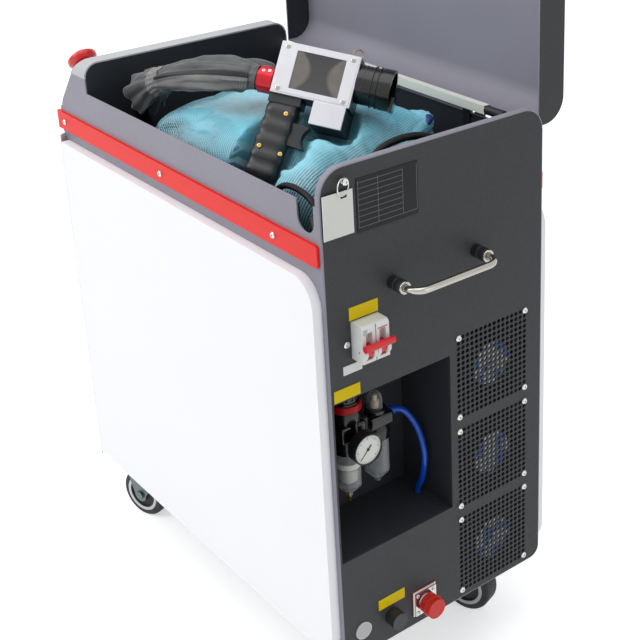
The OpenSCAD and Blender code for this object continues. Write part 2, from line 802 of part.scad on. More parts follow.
// Needle at the zero mark, on the gauge's post
needle_zero = 135;
needle_t = 1.2;
needle_hub_d = 7;
needle_l = 15;
module gauge_needle() {
    x0 = gauge_x + gauge_stem + gauge_back + post_l - 2 * needle_t;
    color("black") placed() translate([x0, frl_y1, gauge_z]) difference() {
        union() {
            rod_x([0, 0, 0], needle_hub_d, needle_t);
            rotate([needle_zero, 0, 0]) translate([0, -needle_t / 2, -needle_hub_d])
                cube([needle_t, needle_t, needle_l + needle_hub_d]);
        }
        rod_x([-eps, 0, 0], post_d + 2 * run_fit, needle_t + 2 * eps);
    }
}

// Sweeps a round tube along points: rings turned to the path, with flat ends
function unit(v) = v / norm(v);
function tangent(p, i) = unit(i == 0 ? p[1] - p[0] : i == len(p) - 1 ? p[i] - p[i - 1] : p[i + 1] - p[i - 1]);
function sideways(t, up) = unit(cross(t, up));
function ring(p, i, r, n, up) = let (t = tangent(p, i), s = sideways(t, up), u = cross(s, t))
    [for (k = [0 : n - 1]) p[i] + r * (cos(360 * k / n) * s + sin(360 * k / n) * u)];
module sweep(p, rs, n, up) {
    m = len(p);
    pts = [for (i = [0 : m - 1]) each ring(p, i, is_list(rs) ? rs[i] : rs, n, up)];
    sides = [for (i = [0 : m - 2], k = [0 : n - 1]) let (a = i * n + k, b = i * n + (k + 1) % n)
        each [[a, b, b + n], [a, b + n, a + n]]];
    caps = [for (k = [1 : n - 2]) each [[0, k + 1, k], [(m - 1) * n, (m - 1) * n + k, (m - 1) * n + k + 1]]];
    polyhedron(pts, concat(sides, caps), convexity = 8);
}
function spline_at(p, t) = let (m = len(p) - 1, i = min(floor(t), m - 1), f = t - i,
    a = p[max(i - 1, 0)], b = p[i], c = p[i + 1], d = p[min(i + 2, m)])
    0.5 * (2 * b + (c - a) * f + (2 * a - 5 * b + 4 * c - d) * f * f + (3 * b - a - 3 * c + d) * f * f * f);
function smooth_path(p, steps) = [for (i = [0 : (len(p) - 1) * steps]) spline_at(p, i / steps)];

// Blue air line from the lubricator's outlet into the recess floor
air_route = [
    [-62, 129.5, 265], [-62, 140, 265], [-61, 149, 259], [-55, 156, 246], [-46, 158, 232],
    [-40, 158, 215], [-38, 158, 200], [-40, 158, 182], [-46, 159, 162], [-54, 159, 144], [-54, 159, 120]
];
module air_tube() {
    color("blue") placed() sweep(smooth_path(air_route, 4), tube_d / 2, 10, [1, 0.2, 0]);
}

// Emergency stop on the slanted face
estop_ring_d = 30;
estop_ring_h = 4;
estop_stem_d = 18;
estop_back = 24;
estop_floor = 6;
estop_cap_h = 13;
module on_slant() {
    placed() translate([estop_x, estop_y, estop_z]) rotate([0, -slant_a, 0]) children();
}

module estop_base() {
    color([0.2, 0.2, 0.2]) on_slant() difference() {
        union() {
            cylinder(d = estop_ring_d, h = estop_ring_h);
            translate([0, 0, -estop_back]) cylinder(d = estop_hole_d - 2 * fit, h = estop_back + eps);
        }
        translate([0, 0, -estop_back + estop_floor]) cylinder(d = estop_stem_d + 2 * run_fit, h = 2 * estop_back);
    }
}

module estop_button() {
    cap_z = estop_proud - estop_cap_h;
    stem_z = -estop_back + estop_floor + estop_travel + fit;
    r = estop_d / 2;
    color("red") on_slant() rotate_extrude() polygon([
        [0, stem_z], [estop_stem_d / 2, stem_z], [estop_stem_d / 2, cap_z], [r * 0.8, cap_z],
        [r, cap_z + estop_cap_h * 0.4], [r, cap_z + estop_cap_h * 0.7], [r * 0.75, estop_proud], [0, estop_proud]
    ]);
}

// Sockets low on the service panel, with their caps
flange = 32;
flange_t = 3;
gasket_t = 1.5;
gasket_side = 35;
socket_d = 20;
socket_l = 18;
socket_back = 12;
flange_screw = 3.4;
flange_pitch = 25;
signal_d = 20;
signal_l = 14;
cap_wall = 2.5;
cap_gap = 3;

// A round shell with a closed rear end behind the panel
module shell_x(x0, y, z, d, l, wall) {
    difference() {
        rod_x([x0, y, z], d, l);
        rod_x([x0 + wall, y, z], d - 2 * wall, l);
    }
}

module panel_sockets() {
    x0 = gasket_t + flange_t;
    color([0.75, 0.75, 0.77]) placed() {
        translate([0, power_y - gasket_side / 2, power_z - gasket_side / 2])
            cube([gasket_t, gasket_side, gasket_side]);
        difference() {
            translate([gasket_t, power_y - flange / 2, power_z - flange / 2])
                cube([flange_t, flange, flange]);
            for (i = [-1, 1], j = [-1, 1])
                rod_x([gasket_t + eps, power_y + i * flange_pitch / 2, power_z + j * flange_pitch / 2],
                    flange_screw, flange_t);
        }
        rod_x([-panel_t - socket_back, power_y, power_z], power_hole_d - 2 * fit, panel_t + socket_back + eps);
        shell_x(x0 - eps, power_y, power_z, socket_d, socket_l + eps, cap_wall);
        rod_x([0, signal_y, signal_z], signal_d, cap_gap);
        rod_x([-panel_t - socket_back, signal_y, signal_z], signal_hole_d - 2 * fit, panel_t + socket_back + eps);
        shell_x(cap_gap - eps, signal_y, signal_z, signal_hole_d, signal_l - cap_gap + eps, cap_wall);
    }
}

// A cap over a socket of diameter d that ends at x
module cap_x(x, l, y, z, d) {
    difference() {
        rod_x([x - l, y, z], d + 2 * cap_wall + 2 * fit, l + cap_wall + fit);
        rod_x([x - l - eps, y, z], d + 2 * fit, l + fit + eps);
    }
}

module socket_caps() {
    color("red") placed() {
        cap_x(gasket_t + flange_t + socket_l, socket_l - cap_gap, power_y, power_z, socket_d);
        cap_x(signal_l, signal_l - cap_gap - fit, signal_y, signal_z, signal_hole_d);
    }
}

// Bare plates: nameplate, three label plates, strip and the hole plug
plate_t = 0.8;
plug_d = 22;
plug_t = 2;
plates = [
    [46, body_h - 80, 82, 61], [29.7, 443, 38.5, 15], [5, 351, 35, 14.5], [52, 50, 39, 14], [18.7, 380.5, 25.3, 10.5]
];
module blank_plates() {
    color([0.7, 0.6, 0.1]) placed() {
        for (p = plates) translate([0, p[0], p[1]]) cube([plate_t, p[2], p[3]]);
        rod_x([0, plug_y, plug_z], plug_d, plug_t);
        rod_x([-panel_t - plug_t, plug_y, plug_z], plug_hole_d - 2 * fit, panel_t + plug_t + eps);
    }
}

// Pale tag hung on a split ring from the shouldered screw
tag_w = 38;
tag_h = 49;
tag_t = 1.2;
tag_x = 3.2;
tag_margin = 4;
ring_r = 9.5;
ring_wire = 1.4;
ring_turn = 18;
slot_l = 8;
slot_h = 3.5;
ring_z = tag_screw_z + tag_shank_d / 2 + fit - ring_r + ring_wire / 2;
slot_z = ring_z - ring_r + ring_wire / 2 + fit - slot_h / 2;
tag_top = slot_z + slot_h / 2 + tag_margin;
module hang_tag() {
    color([0.88, 0.88, 0.84]) placed() {
        difference() {
            translate([tag_x, tag_y - tag_w * 0.7, tag_top - tag_h]) cube([tag_t, tag_w, tag_h]);
            translate([tag_x - eps, tag_y - slot_l / 2, slot_z - slot_h / 2])
                cube([tag_t + 2 * eps, slot_l, slot_h]);
        }
        translate([tag_x + tag_t / 2, tag_y, ring_z]) rotate([0, 0, ring_turn]) rotate([0, 90, 0])
            rotate_extrude() translate([ring_r, 0]) circle(d = ring_wire);
    }
}

// Casters
caster_inset_rear = 52;
caster_inset_front = 82;
caster_inset_y = 45;
caster_spots = [
    [-body_l + caster_inset_front, caster_inset_y], [-body_l + caster_inset_front, body_w - caster_inset_y],
    [-caster_inset_rear, caster_inset_y], [-caster_inset_rear, body_w - caster_inset_y]
];
plate_l = 76;
plate_w = 64;
plate_h = 3;
plate_pitch_x = 56;
plate_pitch_y = 44;
bolt_hole = 8.4;
bolt_d = 8;
bolt_head_d = 14;
bolt_head_h = 4;
bolt_top_h = 1.5;
caster_trail = 28;
race_d = 44;
race_h = 4.5;
fork_t = 3;
fork_gap = 1.5;
axle_d = 8;
axle_nut_d = 13;
king_d = 10;
king_head_h = 2.5;
leg_r = 11;
fork_w = wheel_w + 2 * fork_gap;
axle_z = -caster_h + wheel_d / 2;
race_z = -plate_h - race_h;
crown_z = race_z - fit - race_h - fork_t;

module caster_plates() {
    color([0.72, 0.73, 0.75]) placed() for (c = caster_spots) translate([c[0], c[1], 0]) {
        difference() {
            translate([-plate_l / 2, -plate_w / 2, -plate_h]) cube([plate_l, plate_w, plate_h]);
            for (i = [-1, 1], j = [-1, 1])
                translate([i * plate_pitch_x / 2, j * plate_pitch_y / 2, -plate_h - eps])
                    cylinder(d = bolt_hole, h = plate_h + 2 * eps);
        }
        translate([0, 0, race_z]) cylinder(d = race_d, h = race_h);
        translate([0, 0, crown_z - eps]) cylinder(d = king_d, h = -crown_z);
        translate([0, 0, crown_z - fit - king_head_h]) cylinder(d = 1.6 * king_d, h = king_head_h);
        for (i = [-1, 1], j = [-1, 1]) translate([i * plate_pitch_x / 2, j * plate_pitch_y / 2, 0]) {
            translate([0, 0, -plate_h - bolt_head_h]) cylinder(d = bolt_head_d, h = bolt_head_h, $fn = 6);
            translate([0, 0, -plate_h]) cylinder(d = bolt_d, h = plate_h + pan_t + bolt_top_h);
            translate([0, 0, pan_t]) cylinder(d = bolt_head_d, h = bolt_top_h);
        }
    }
}

module at_caster(i) {
    placed() translate([caster_spots[i][0], caster_spots[i][1], 0]) rotate(caster_turn) children();
}

// A fork: swivel race, crown, two tapered legs and the axle bolt
pedal_x = -caster_trail - 18;
pedal_z = crown_z - 5;
pedal_pin_d = 4;
module caster_fork(i) {
    outer_w = fork_w + 2 * fork_t;
    color([0.72, 0.73, 0.75]) at_caster(i) {
        difference() {
            union() {
                translate([0, 0, crown_z + fork_t - eps]) cylinder(d = race_d, h = race_h + eps);
                translate([pedal_x - king_d / 2, -outer_w / 2, crown_z])
                    cube([race_d / 2 - king_d / 2 - pedal_x, outer_w, fork_t]);
            }
            translate([0, 0, crown_z - eps]) cylinder(d = king_d + 2 * run_fit, h = race_h + fork_t + 2 * eps);
        }
        for (s = [-1, 1]) difference() {
            translate([0, s * (fork_w + fork_t) / 2, 0]) fork_leg();
            if (i < 2) rod_y([pedal_x, -outer_w, pedal_z], pedal_pin_d + 2 * run_fit, 2 * outer_w);
        }
        rod_y([-caster_trail, -outer_w / 2 - fork_t, axle_z], axle_d, outer_w + 2 * fork_t);
        for (s = [-1, 1]) rod_y([-caster_trail, s * (outer_w + fork_t) / 2 - fork_t / 2, axle_z],
            axle_nut_d, fork_t);
    }
}

module fork_leg() {
    translate([0, fork_t / 2, 0]) rotate([90, 0, 0]) linear_extrude(fork_t) {
        polygon([
            [race_d / 2 - king_d / 2, crown_z + eps], [pedal_x - king_d / 2, crown_z + eps],
            [pedal_x - king_d / 2, pedal_z - king_d / 2], [-caster_trail - leg_r, axle_z],
            [-caster_trail + leg_r, axle_z]
        ]);
        translate([-caster_trail, axle_z]) circle(leg_r);
    }
}

// Brake pedal on a front caster: a lever on a cross pin above the wheel
pedal_l = 30;
pedal_t = 3;
pedal_hub_d = 9;
pedal_a = 8;
module brake_pedal(i) {
    w = fork_w - 2 * fit;
    color([0.1, 0.1, 0.1]) at_caster(i) translate([pedal_x, 0, pedal_z]) {
        rod_y([0, -w / 2, 0], pedal_hub_d, w);
        rod_y([0, -fork_w / 2 - fork_t, 0], pedal_pin_d, fork_w + 2 * fork_t);
        rotate([0, pedal_a, 0]) {
            translate([-pedal_l, -w / 2 + eps, -pedal_t / 2]) cube([pedal_l, w - 2 * eps, pedal_t]);
            for (k = [1 : 4]) translate([k * pedal_t - pedal_l, -w / 2 + 2 * eps, 0])
                cube([pedal_t / 2, w - 4 * eps, pedal_t * 0.75]);
        }
    }
}

tyre_r = 5;
hub_face_r = 22;
hub_dish = 3;
module caster_wheel(i) {
    flat_w = wheel_w - 2 * tyre_r;
    color([0.08, 0.08, 0.08]) at_caster(i) translate([-caster_trail, 0, axle_z]) rotate([90, 0, 0])
        rotate_extrude() difference() {
            union() {
                translate([0, -flat_w / 2]) square([wheel_d / 2, flat_w]);
                translate([0, -wheel_w / 2]) square([wheel_d / 2 - tyre_r, wheel_w]);
                for (s = [-1, 1]) translate([wheel_d / 2 - tyre_r, s * flat_w / 2]) circle(tyre_r);
            }
            translate([-wheel_d, -wheel_w]) square([wheel_d + axle_d / 2 + run_fit, 2 * wheel_w]);
            for (s = [-1, 1]) translate([axle_d, s * wheel_w / 2 - hub_dish])
                square([hub_face_r - axle_d, 2 * hub_dish]);
        }
}

// Lid: a deep pan with rounded long edges, turned open about its hinges
lid_gap = 1;
lid_low = sill_z + 0.5;
lid_x0 = console_x + lid_gap;
lid_x1 = -rim_depth - lid_gap;
module lid_pose() {
    placed() translate([0, hinge_y, hinge_z]) rotate([-lid_open, 0, 0]) translate([0, -hinge_y, -hinge_z])
        children();
}

module lid() {
    color([0.3, 0.3, 0.31]) lid_pose() difference() {
        plate_x(lid_x0, lid_x1 - lid_x0, 0, body_w, lid_low - top_r, body_h, top_r, eps);
        plate_x(lid_x0 + lid_t, lid_x1 - lid_x0 - 2 * lid_t, lid_t, body_w - lid_t, lid_low - top_r - eps,
            body_h - lid_t, top_r - lid_t, eps / 2);
        translate([lid_x0 - eps, -eps, lid_low - body_h]) cube([body_l, body_w + 2 * eps, body_h]);
    }
}

// Two hinges on the far side: fixed leaves with outer knuckles and the pin, moving leaves with the middle
hinge_xs = [-415, -98];
hinge_l = 50;
leaf_t = 2;
leaf_w = 18;
knuckle_d = 8;
pin_d = 4;
web_t = 3;
knuckle_gap = 0.5;
module lid_hinges() {
    side_l = hinge_l / 3 - knuckle_gap;
    color("silver") placed() for (x = hinge_xs) {
        translate([x - hinge_l / 2, body_w, sill_z - leaf_w]) cube([hinge_l - knuckle_gap, leaf_t, leaf_w]);
        for (s = [0, 2]) translate([x - hinge_l / 2 + s * hinge_l / 3, 0, 0]) {
            translate([0, body_w, sill_z - web_t]) cube([side_l, hinge_off, web_t]);
            translate([0, hinge_y - web_t / 2, sill_z - web_t]) cube([side_l, web_t, hinge_up + web_t]);
            rod_x([0, hinge_y, hinge_z], knuckle_d, side_l);
        }
        rod_x([x - hinge_l / 2, hinge_y, hinge_z], pin_d, hinge_l - knuckle_gap);
    }
}

module lid_leaves() {
    color("silver") lid_pose() for (x = hinge_xs) difference() {
        union() {
            translate([x - hinge_l / 2, body_w, hinge_z]) cube([hinge_l - knuckle_gap, leaf_t, leaf_w]);
            translate([x - hinge_l / 6, body_w, hinge_z])
                cube([hinge_l / 3 - knuckle_gap, hinge_off, knuckle_d / 2]);
            rod_x([x - hinge_l / 6, hinge_y, hinge_z], knuckle_d, hinge_l / 3 - knuckle_gap);
        }
        rod_x([x - hinge_l, hinge_y, hinge_z], pin_d + 2 * run_fit, 2 * hinge_l);
        // Room for the fixed knuckles
        for (s = [-1, 1]) rod_x([x - hinge_l / 6 - knuckle_gap + s * hinge_l / 3, hinge_y, hinge_z],
            knuckle_d + 2 * knuckle_gap, hinge_l / 3 + knuckle_gap / 2);
    }
}

// Cleaning gun, drawn with its screen in the plane z = 0 and its lens to +X
gun_at = lifted([[-178.6, 126, 657.1]])[0];
gun_turn = [58.4, 10.6, 39.2];
module gun_pose() {
    placed() translate(gun_at) rotate(gun_turn) children();
}

screen_w = 58;
screen_h = 45;
screen_t = 3;
screen_x = 2.4;
motor_w = 38;
motor_h = 27;
motor_x = 6;
motor_depth = 60;
bracket_lw = 38;
bracket_lh = 10;
bracket_x = -48;
bracket_z = -36;
bracket_d = 30;
lens_y = 4;
lens_spigot = 6;
eye_x = 40;
eye_r = 6;
eye_wire = 1.6;
module gun_housing() {
    color([0.78, 0.78, 0.8]) gun_pose() {
        difference() {
            union() {
                translate([-gun_w / 2, -gun_h / 2, -gun_depth]) cube([gun_w, gun_h, gun_depth]);
                motor_box();
                translate([bracket_x, -gun_h / 2 - bracket_lh, bracket_z])
                    cube([bracket_lw, bracket_lh + eps, bracket_d]);
            }
            translate([screen_x - screen_w / 2 - fit, -screen_h / 2 - fit, -screen_t])
                cube([screen_w + 2 * fit, screen_h + 2 * fit, screen_t + eps]);
            translate([gun_w / 2 - lens_spigot, lens_y, -gun_depth / 2]) rotate([0, 90, 0])
                cylinder(d = lens_d * 0.75, h = lens_spigot + eps);
        }
        translate([eye_x, gun_h / 2 + eye_r - eye_wire / 4, -gun_depth / 3]) rotate([0, 20, 0])
            rotate_extrude() translate([eye_r, 0]) circle(d = eye_wire);
    }
}

module motor_box() {
    translate([motor_x, -gun_h / 2 - motor_h, -motor_depth]) cube([motor_w, motor_h + 2 * eps, motor_depth]);
    translate([motor_x, -gun_h / 2 - motor_h, -motor_depth])
        cube([motor_w, motor_h * 2, motor_depth - gun_depth + eps]);
}

module gun_screen() {
    color([0.15, 0.15, 0.16]) gun_pose() translate([screen_x - screen_w / 2, -screen_h / 2, -screen_t])
        cube([screen_w, screen_h, screen_t - fit]);
}

// Handle with finger ribs, and the well for the trigger
grip_w = 39;
grip_t = 30;
grip_l = 90;
grip_lean = 5;
grip_x = -30;
grip_z = -21;
rib_n = 5;
rib_d = 22;
module grip_pose() {
    gun_pose() translate([grip_x, -gun_h / 2 - bracket_lh, grip_z]) rotate([0, 0, -grip_lean]) children();
}

module gun_handle() {
    rib_step = grip_l / rib_n;
    color([0.09, 0.09, 0.1]) grip_pose() difference() {
        union() {
            translate([-grip_w / 2 + rib_d / 8, -grip_l, -grip_t / 2])
                cube([grip_w - rib_d / 4, grip_l + bracket_lh / 2, grip_t]);
            for (i = [0 : rib_n - 1], s = [-1, 1])
                translate([s * (grip_w - rib_d) / 2, -(i + 0.5) * rib_step, -grip_t / 2])
                    cylinder(d = rib_d, h = grip_t);
        }
        rotate([0, 0, grip_lean]) translate([-grip_w, 0, -grip_t]) cube([2 * grip_w, grip_l, 2 * grip_t]);
        translate([-grip_w, -2 * grip_l, -grip_t]) cube([2 * grip_w, grip_l, 2 * grip_t]);
        // Trigger well
        translate([trigger_in, -trigger_low, -trigger_t / 2 - fit])
            cube([grip_w, trigger_l + 2 * fit, trigger_t + 2 * fit]);
    }
}

trigger_l = 27;
trigger_t = 14;
trigger_low = 44;
trigger_in = 5;
trigger_out = 37;
trigger_dish = 34;
module gun_trigger() {
    x0 = trigger_in + trigger_travel + fit;
    color([0.12, 0.12, 0.13]) grip_pose() difference() {
        translate([x0, -trigger_low + fit, -trigger_t / 2]) cube([trigger_out - x0, trigger_l, trigger_t]);
        translate([trigger_out + trigger_dish * 0.36, -trigger_low + trigger_l / 2, -trigger_t])
            cylinder(d = trigger_dish, h = 2 * trigger_t);
    }
}

lens_l = 28;
bezel_d = 49;
bezel_l = 13;
drawer_l = 5;
drawer_w = 14;
module lens_tube() {
    color([0.07, 0.07, 0.08]) gun_pose() translate([gun_w / 2, lens_y, -gun_depth / 2]) rotate([0, 90, 0]) {
        difference() {
            union() {
                cylinder(d = lens_d, h = lens_l);
                translate([0, 0, lens_l]) cylinder(d = bezel_d, h = bezel_l);
                translate([0, 0, fit - lens_spigot]) cylinder(d = lens_d * 0.75 - 2 * fit, h = lens_spigot);
            }
            translate([0, 0, lens_l]) cylinder(d = bezel_d * 0.86, h = bezel_l + eps);
            translate([0, 0, lens_l / 3]) cylinder(d = bezel_d * 0.6, h = lens_l);
        }
        // Tab of the window drawer
        translate([-drawer_w / 2, -bezel_d / 2, lens_l + bezel_l]) cube([drawer_w, bezel_d / 3, drawer_l]);
    }
}

clamp_d = 32;
clamp_l = 22;
clamp_y = -15;
clamp_z = -20;
clamp_bore = 14;
module hose_clamp() {
    color([0.85, 0.12, 0.16]) gun_pose() translate([-gun_w / 2, clamp_y, clamp_z]) rotate([0, -90, 0])
        difference() {
            union() {
                cylinder(d = clamp_d * 0.8, h = clamp_l);
                translate([0, 0, clamp_l / 8]) cylinder(d = clamp_d, h = clamp_l * 0.75);
            }
            translate([0, 0, clamp_l / 5]) cylinder(d = clamp_bore, h = clamp_l);
        }
}

// Lamp along the tray's far wall, on two clips
lamp_x0 = -330;
lamp_l = 245;
lamp_h = 11;
lamp_t = 9;
lamp_cap_l = 30;
lamp_z = sill_z + 10;
clip_w = 12;
clip_t = 1.5;
clip_low = 30;
module tray_lamp() {
    y1 = body_w - 2 * sheet;
    y0 = y1 - clip_t - lamp_t;
    color([0.85, 0.84, 0.76]) placed() {
        translate([lamp_x0, y0, lamp_z]) cube([lamp_l, lamp_t, lamp_h]);
        rod_x([lamp_x0 + lamp_l, y0 + lamp_t / 2, lamp_z + lamp_h / 2], lamp_h, lamp_cap_l);
        for (k = [0.2, 0.8]) translate([lamp_x0 + k * lamp_l, y1 - clip_t, lamp_z - clip_low])
            cube([clip_w, clip_t, clip_low + lamp_h / 2]);
    }
}

// Way of the fabric sleeve from the gun's clamp to its gathered open end
sleeve_start = lifted([[-240.5, 87.3, 646.9]])[0];
sleeve_route = lifted([
    [-246.6, 82.3, 648.4], [-256, 75, 650.5], [-278, 65, 652], [-310, 57, 650], [-355, 55, 640],
    [-400, 57, 624], [-440, 61, 607], [-462, 63, 597], [-478, 64, 588]
]);
sleeve_rs = [14, 15, 20, 25, 27, 25, 20, 17, 24];
sleeve_steps = 2;
sleeve_path = concat([sleeve_start], smooth_path(sleeve_route, sleeve_steps));
sleeve_end = sleeve_path[len(sleeve_path) - 1];
sleeve_dir = unit(sleeve_end - sleeve_path[len(sleeve_path) - 2]);

// Umbilical hose: out of the console's wall, two layers of stadium-shaped loops, then up to the sleeve
coil_cx = -270;
coil_cy = 190;
coil_half = 112;
coil_r_out = 108;
coil_turns = 3;
coil_end_share = 0.75;
coil_rings = 24;
coil_gap = 1.5;
coil_pitch = hose_d + coil_gap;
run_share = 0.25;
hose_z1 = tray_z + hose_d / 2 + coil_gap / 3;
function coil_r(t) = coil_r_out - coil_pitch * (t < coil_turns / 2 ? t : coil_turns - t);
function coil_z(t) = hose_z1 + coil_pitch * min(1, max(0, 2 * (t - coil_turns / 2) + 0.5));
function coil_at(t) = let (half = floor(2 * t), v = 2 * t - half, s = half % 2 == 0 ? 1 : -1, r = coil_r(t))
    v < run_share
        ? [coil_cx + s * coil_half * (2 * v / run_share - 1), coil_cy - s * r, coil_z(t)]
        : let (a = -90 + 180 * (v - run_share) / (1 - run_share))
            [coil_cx + s * (coil_half + r * cos(a)), coil_cy + s * r * sin(a), coil_z(t)];
coil_end = coil_turns - 1 + coil_end_share;
coil_path = [for (i = [1 : coil_rings * coil_end]) coil_at(i / coil_rings)];
hose_start = [
    [-525, 82, gland_z], [-505, 82, gland_z], [-470, 82, (gland_z + hose_z1) / 2], [-435, 82, hose_z1],
    [-400, 82, hose_z1]
];
hose_rise = lifted([
    [-489, 152, 462], [-494, 128, 470], [-500, 108, 483], [-506, 90, 500], [-510, 76, 522], [-509, 68, 544],
    [-504, 65, 562]
]);

// The last rings stand square to the sleeve's mouth
hose_tail = [for (k = [hose_d, hose_d / 2, fit]) sleeve_end + k * sleeve_dir];

// Least gap between turns, on four points per ring
fine = [for (i = [0 : 4 * coil_rings * coil_end]) coil_at(i / (4 * coil_rings))];
least_gap = min([for (i = [0 : len(fine) - 1], j = [i + 2 * coil_rings : len(fine) - 1])
    norm(fine[i] - fine[j])]) - hose_d;
echo("least gap between the hose's loops", least_gap);

lead_route = lifted([
    [-27, 15, 558], [-27, 15, 563], [-31, 15, 571], [-42, 15, 577], [-57, 15, 580], [-72, 15, 580],
    [-86, 15, 577], [-98, 15, 570], [-108, 14, 560], [-114, 13, 545], [-116, 12, 520], [-116, 12, 490],
    [-116, 12, 450], [-116, 12, 430]
]);
loop_route = lifted([
    [-32, 108, 430], [-32, 108, 450], [-31, 110, 510], [-30, 122, 555], [-29, 145, 576], [-29, 170, 584],
    [-29, 195, 586], [-29, 222, 585], [-30, 250, 576], [-32, 270, 550], [-34, 280, 500], [-34, 282, 450],
    [-34, 282, 430]
]);
loop_d = 9;
module umbilical_hose() {
    color([0.1, 0.1, 0.11]) placed() {
        sweep(concat(hose_start, coil_path, hose_rise, hose_tail), hose_d / 2, 6, [0, 0, 1]);
        sweep(smooth_path(lead_route, 2), lead_d / 2, 8, [0.3, 1, 0.1]);
        sweep(smooth_path(loop_route, 2), loop_d / 2, 8, [1, 0, 0]);
    }
}

// Fabric sleeve over the hose between the tray and the gun, gathered at its open end
module cable_sleeve() {
    rs = concat([sleeve_rs[0]], [for (i = [0 : (len(sleeve_route) - 1) * sleeve_steps])
        let (q = i / sleeve_steps, k = min(floor(q), len(sleeve_rs) - 2))
            sleeve_rs[k] + (sleeve_rs[k + 1] - sleeve_rs[k]) * (q - k)]);
    color([0.25, 0.25, 0.26]) placed() sweep(sleeve_path, rs, 12, [0, 0, 1]);
}

// Accessory bag: a soft pouch that fills the tray and carries the gun, with rolled edges and a flat bottom
bag_outline = [
    [-414, 95], [-420, 130], [-414, 168], [-392, 204], [-348, 230], [-290, 246], [-230, 258], [-182, 268],
    [-156, 272], [-140, 258], [-122, 215], [-106, 165], [-92, 115], [-80, 72], [-74, 48], [-84, 32],
    [-115, 25], [-160, 21], [-220, 19], [-290, 19], [-350, 20], [-392, 30], [-408, 58]
];
bag_c = [-235, 142];
bag_mid = 540;
bag_z0 = 466.8;
bag_crown = [-215, 130, 594];
bag_sag = [0.0003, 0.0004];
bag_up = [[0.3, 1], [0.6, 0.99], [0.8, 0.93], [0.9, 0.8], [0.96, 0.6], [0.99, 0.32], [1, 0]];
bag_down = [[0.99, 0.35], [0.95, 0.62], [0.87, 0.84], [0.75, 1]];
bag_fit = 0.6;
function bag_top(p) = bag_crown[2] - bag_sag[0] * (p[0] - bag_crown[0]) ^ 2
    - bag_sag[1] * (p[1] - bag_crown[1]) ^ 2;
function bag_xy(p, k) = bag_c + k * (p - bag_c);
function bag_point(p, k, z) = [bag_xy(p, k)[0], bag_xy(p, k)[1], z];

module pouch() {
    loop = [for (p = smooth_path(concat([for (p = bag_outline) [p[0], p[1], 0]], [[bag_outline[0][0],
        bag_outline[0][1], 0]]), 2)) [p[0], p[1]]];
    n = len(loop) - 1;
    rings = concat(
        [for (u = bag_up, i = [0 : n - 1])
            bag_point(loop[i], u[0], bag_mid + (bag_top(bag_xy(loop[i], u[0])) - bag_mid) * u[1])],
        [for (u = bag_down, i = [0 : n - 1]) bag_point(loop[i], u[0], bag_mid - (bag_mid - bag_z0) * u[1])]);
    m = len(bag_up) + len(bag_down);
    ends = [[bag_c[0], bag_c[1], bag_top(bag_c)], [bag_c[0], bag_c[1], bag_z0]];
    polyhedron(lifted(concat(rings, ends)), concat(
        [for (r = [0 : m - 2], i = [0 : n - 1]) let (j = (i + 1) % n) [(r + 1) * n + i, (r + 1) * n + j, r * n + j]],
        [for (r = [0 : m - 2], i = [0 : n - 1]) let (j = (i + 1) % n) [(r + 1) * n + i, r * n + j, r * n + i]],
        [for (i = [0 : n - 1]) [i, (i + 1) % n, m * n]],
        [for (i = [0 : n - 1]) [(m - 1) * n + (i + 1) % n, (m - 1) * n + i, m * n + 1]]));
}

module accessory_bag() {
    color([0.5, 0.75, 0.82]) difference() {
        placed() pouch();
        // Dents that the gun's handle, trigger and motor lie in
        grip_pose() translate([-grip_w / 2 - bag_fit, -2 * grip_l, -grip_t / 2 - bag_fit])
            cube([grip_w + 2 * bag_fit, 3 * grip_l, grip_t + 3 * bag_fit + body_h]);
        grip_pose() translate([0, -trigger_low - bag_fit, -trigger_t / 2 - bag_fit])
            cube([trigger_out + bag_fit, 2 * trigger_low, body_h]);
        gun_pose() translate([motor_x - bag_fit, -gun_h / 2 - motor_h - bag_fit, -motor_depth - bag_fit])
            cube([motor_w + 2 * bag_fit, gun_h + motor_h, body_h]);
        gun_pose() translate([-gun_w / 2 - clamp_l, -gun_h / 2 - bag_fit, -gun_depth - bag_fit])
            cube([gun_w + clamp_l + lens_l + bezel_l + drawer_l, gun_h, body_h]);
    }
}

// Inside the cabinet: laser source with its fins, power supply and control board
laser_l = body_l - 232;
laser_w = body_w - 45;
laser_h = 90;
laser_x = -body_l + 12;
laser_lift = 10;
bar_w = 20;
fin_n = 16;
fin_h = 40;
fin_t = 3;
module laser_source() {
    y0 = (body_w - laser_w) / 2;
    color([0.6, 0.6, 0.62]) placed() {
        translate([laser_x, y0, pan_t + laser_lift]) cube([laser_l, laser_w, laser_h]);
        // Cross bars under it, clear of the caster bolts
        for (x = [laser_x, laser_x + laser_l - bar_w])
            translate([x, y0, pan_t]) cube([bar_w, laser_w, laser_lift]);
        for (i = [0 : fin_n - 1])
            translate([laser_x, y0 + i * (laser_w - fin_t) / (fin_n - 1), pan_t + laser_lift + laser_h - eps])
                cube([laser_l, fin_t, fin_h + eps]);
    }
}

supply_l = 115;
supply_w = body_w - 100;
supply_h = 50;
supply_x = laser_x + laser_l + 10;
supply_y = 28;
module power_supply() {
    color([0.7, 0.7, 0.72]) placed() translate([supply_x, supply_y, pan_t]) cube([supply_l, supply_w, supply_h]);
}

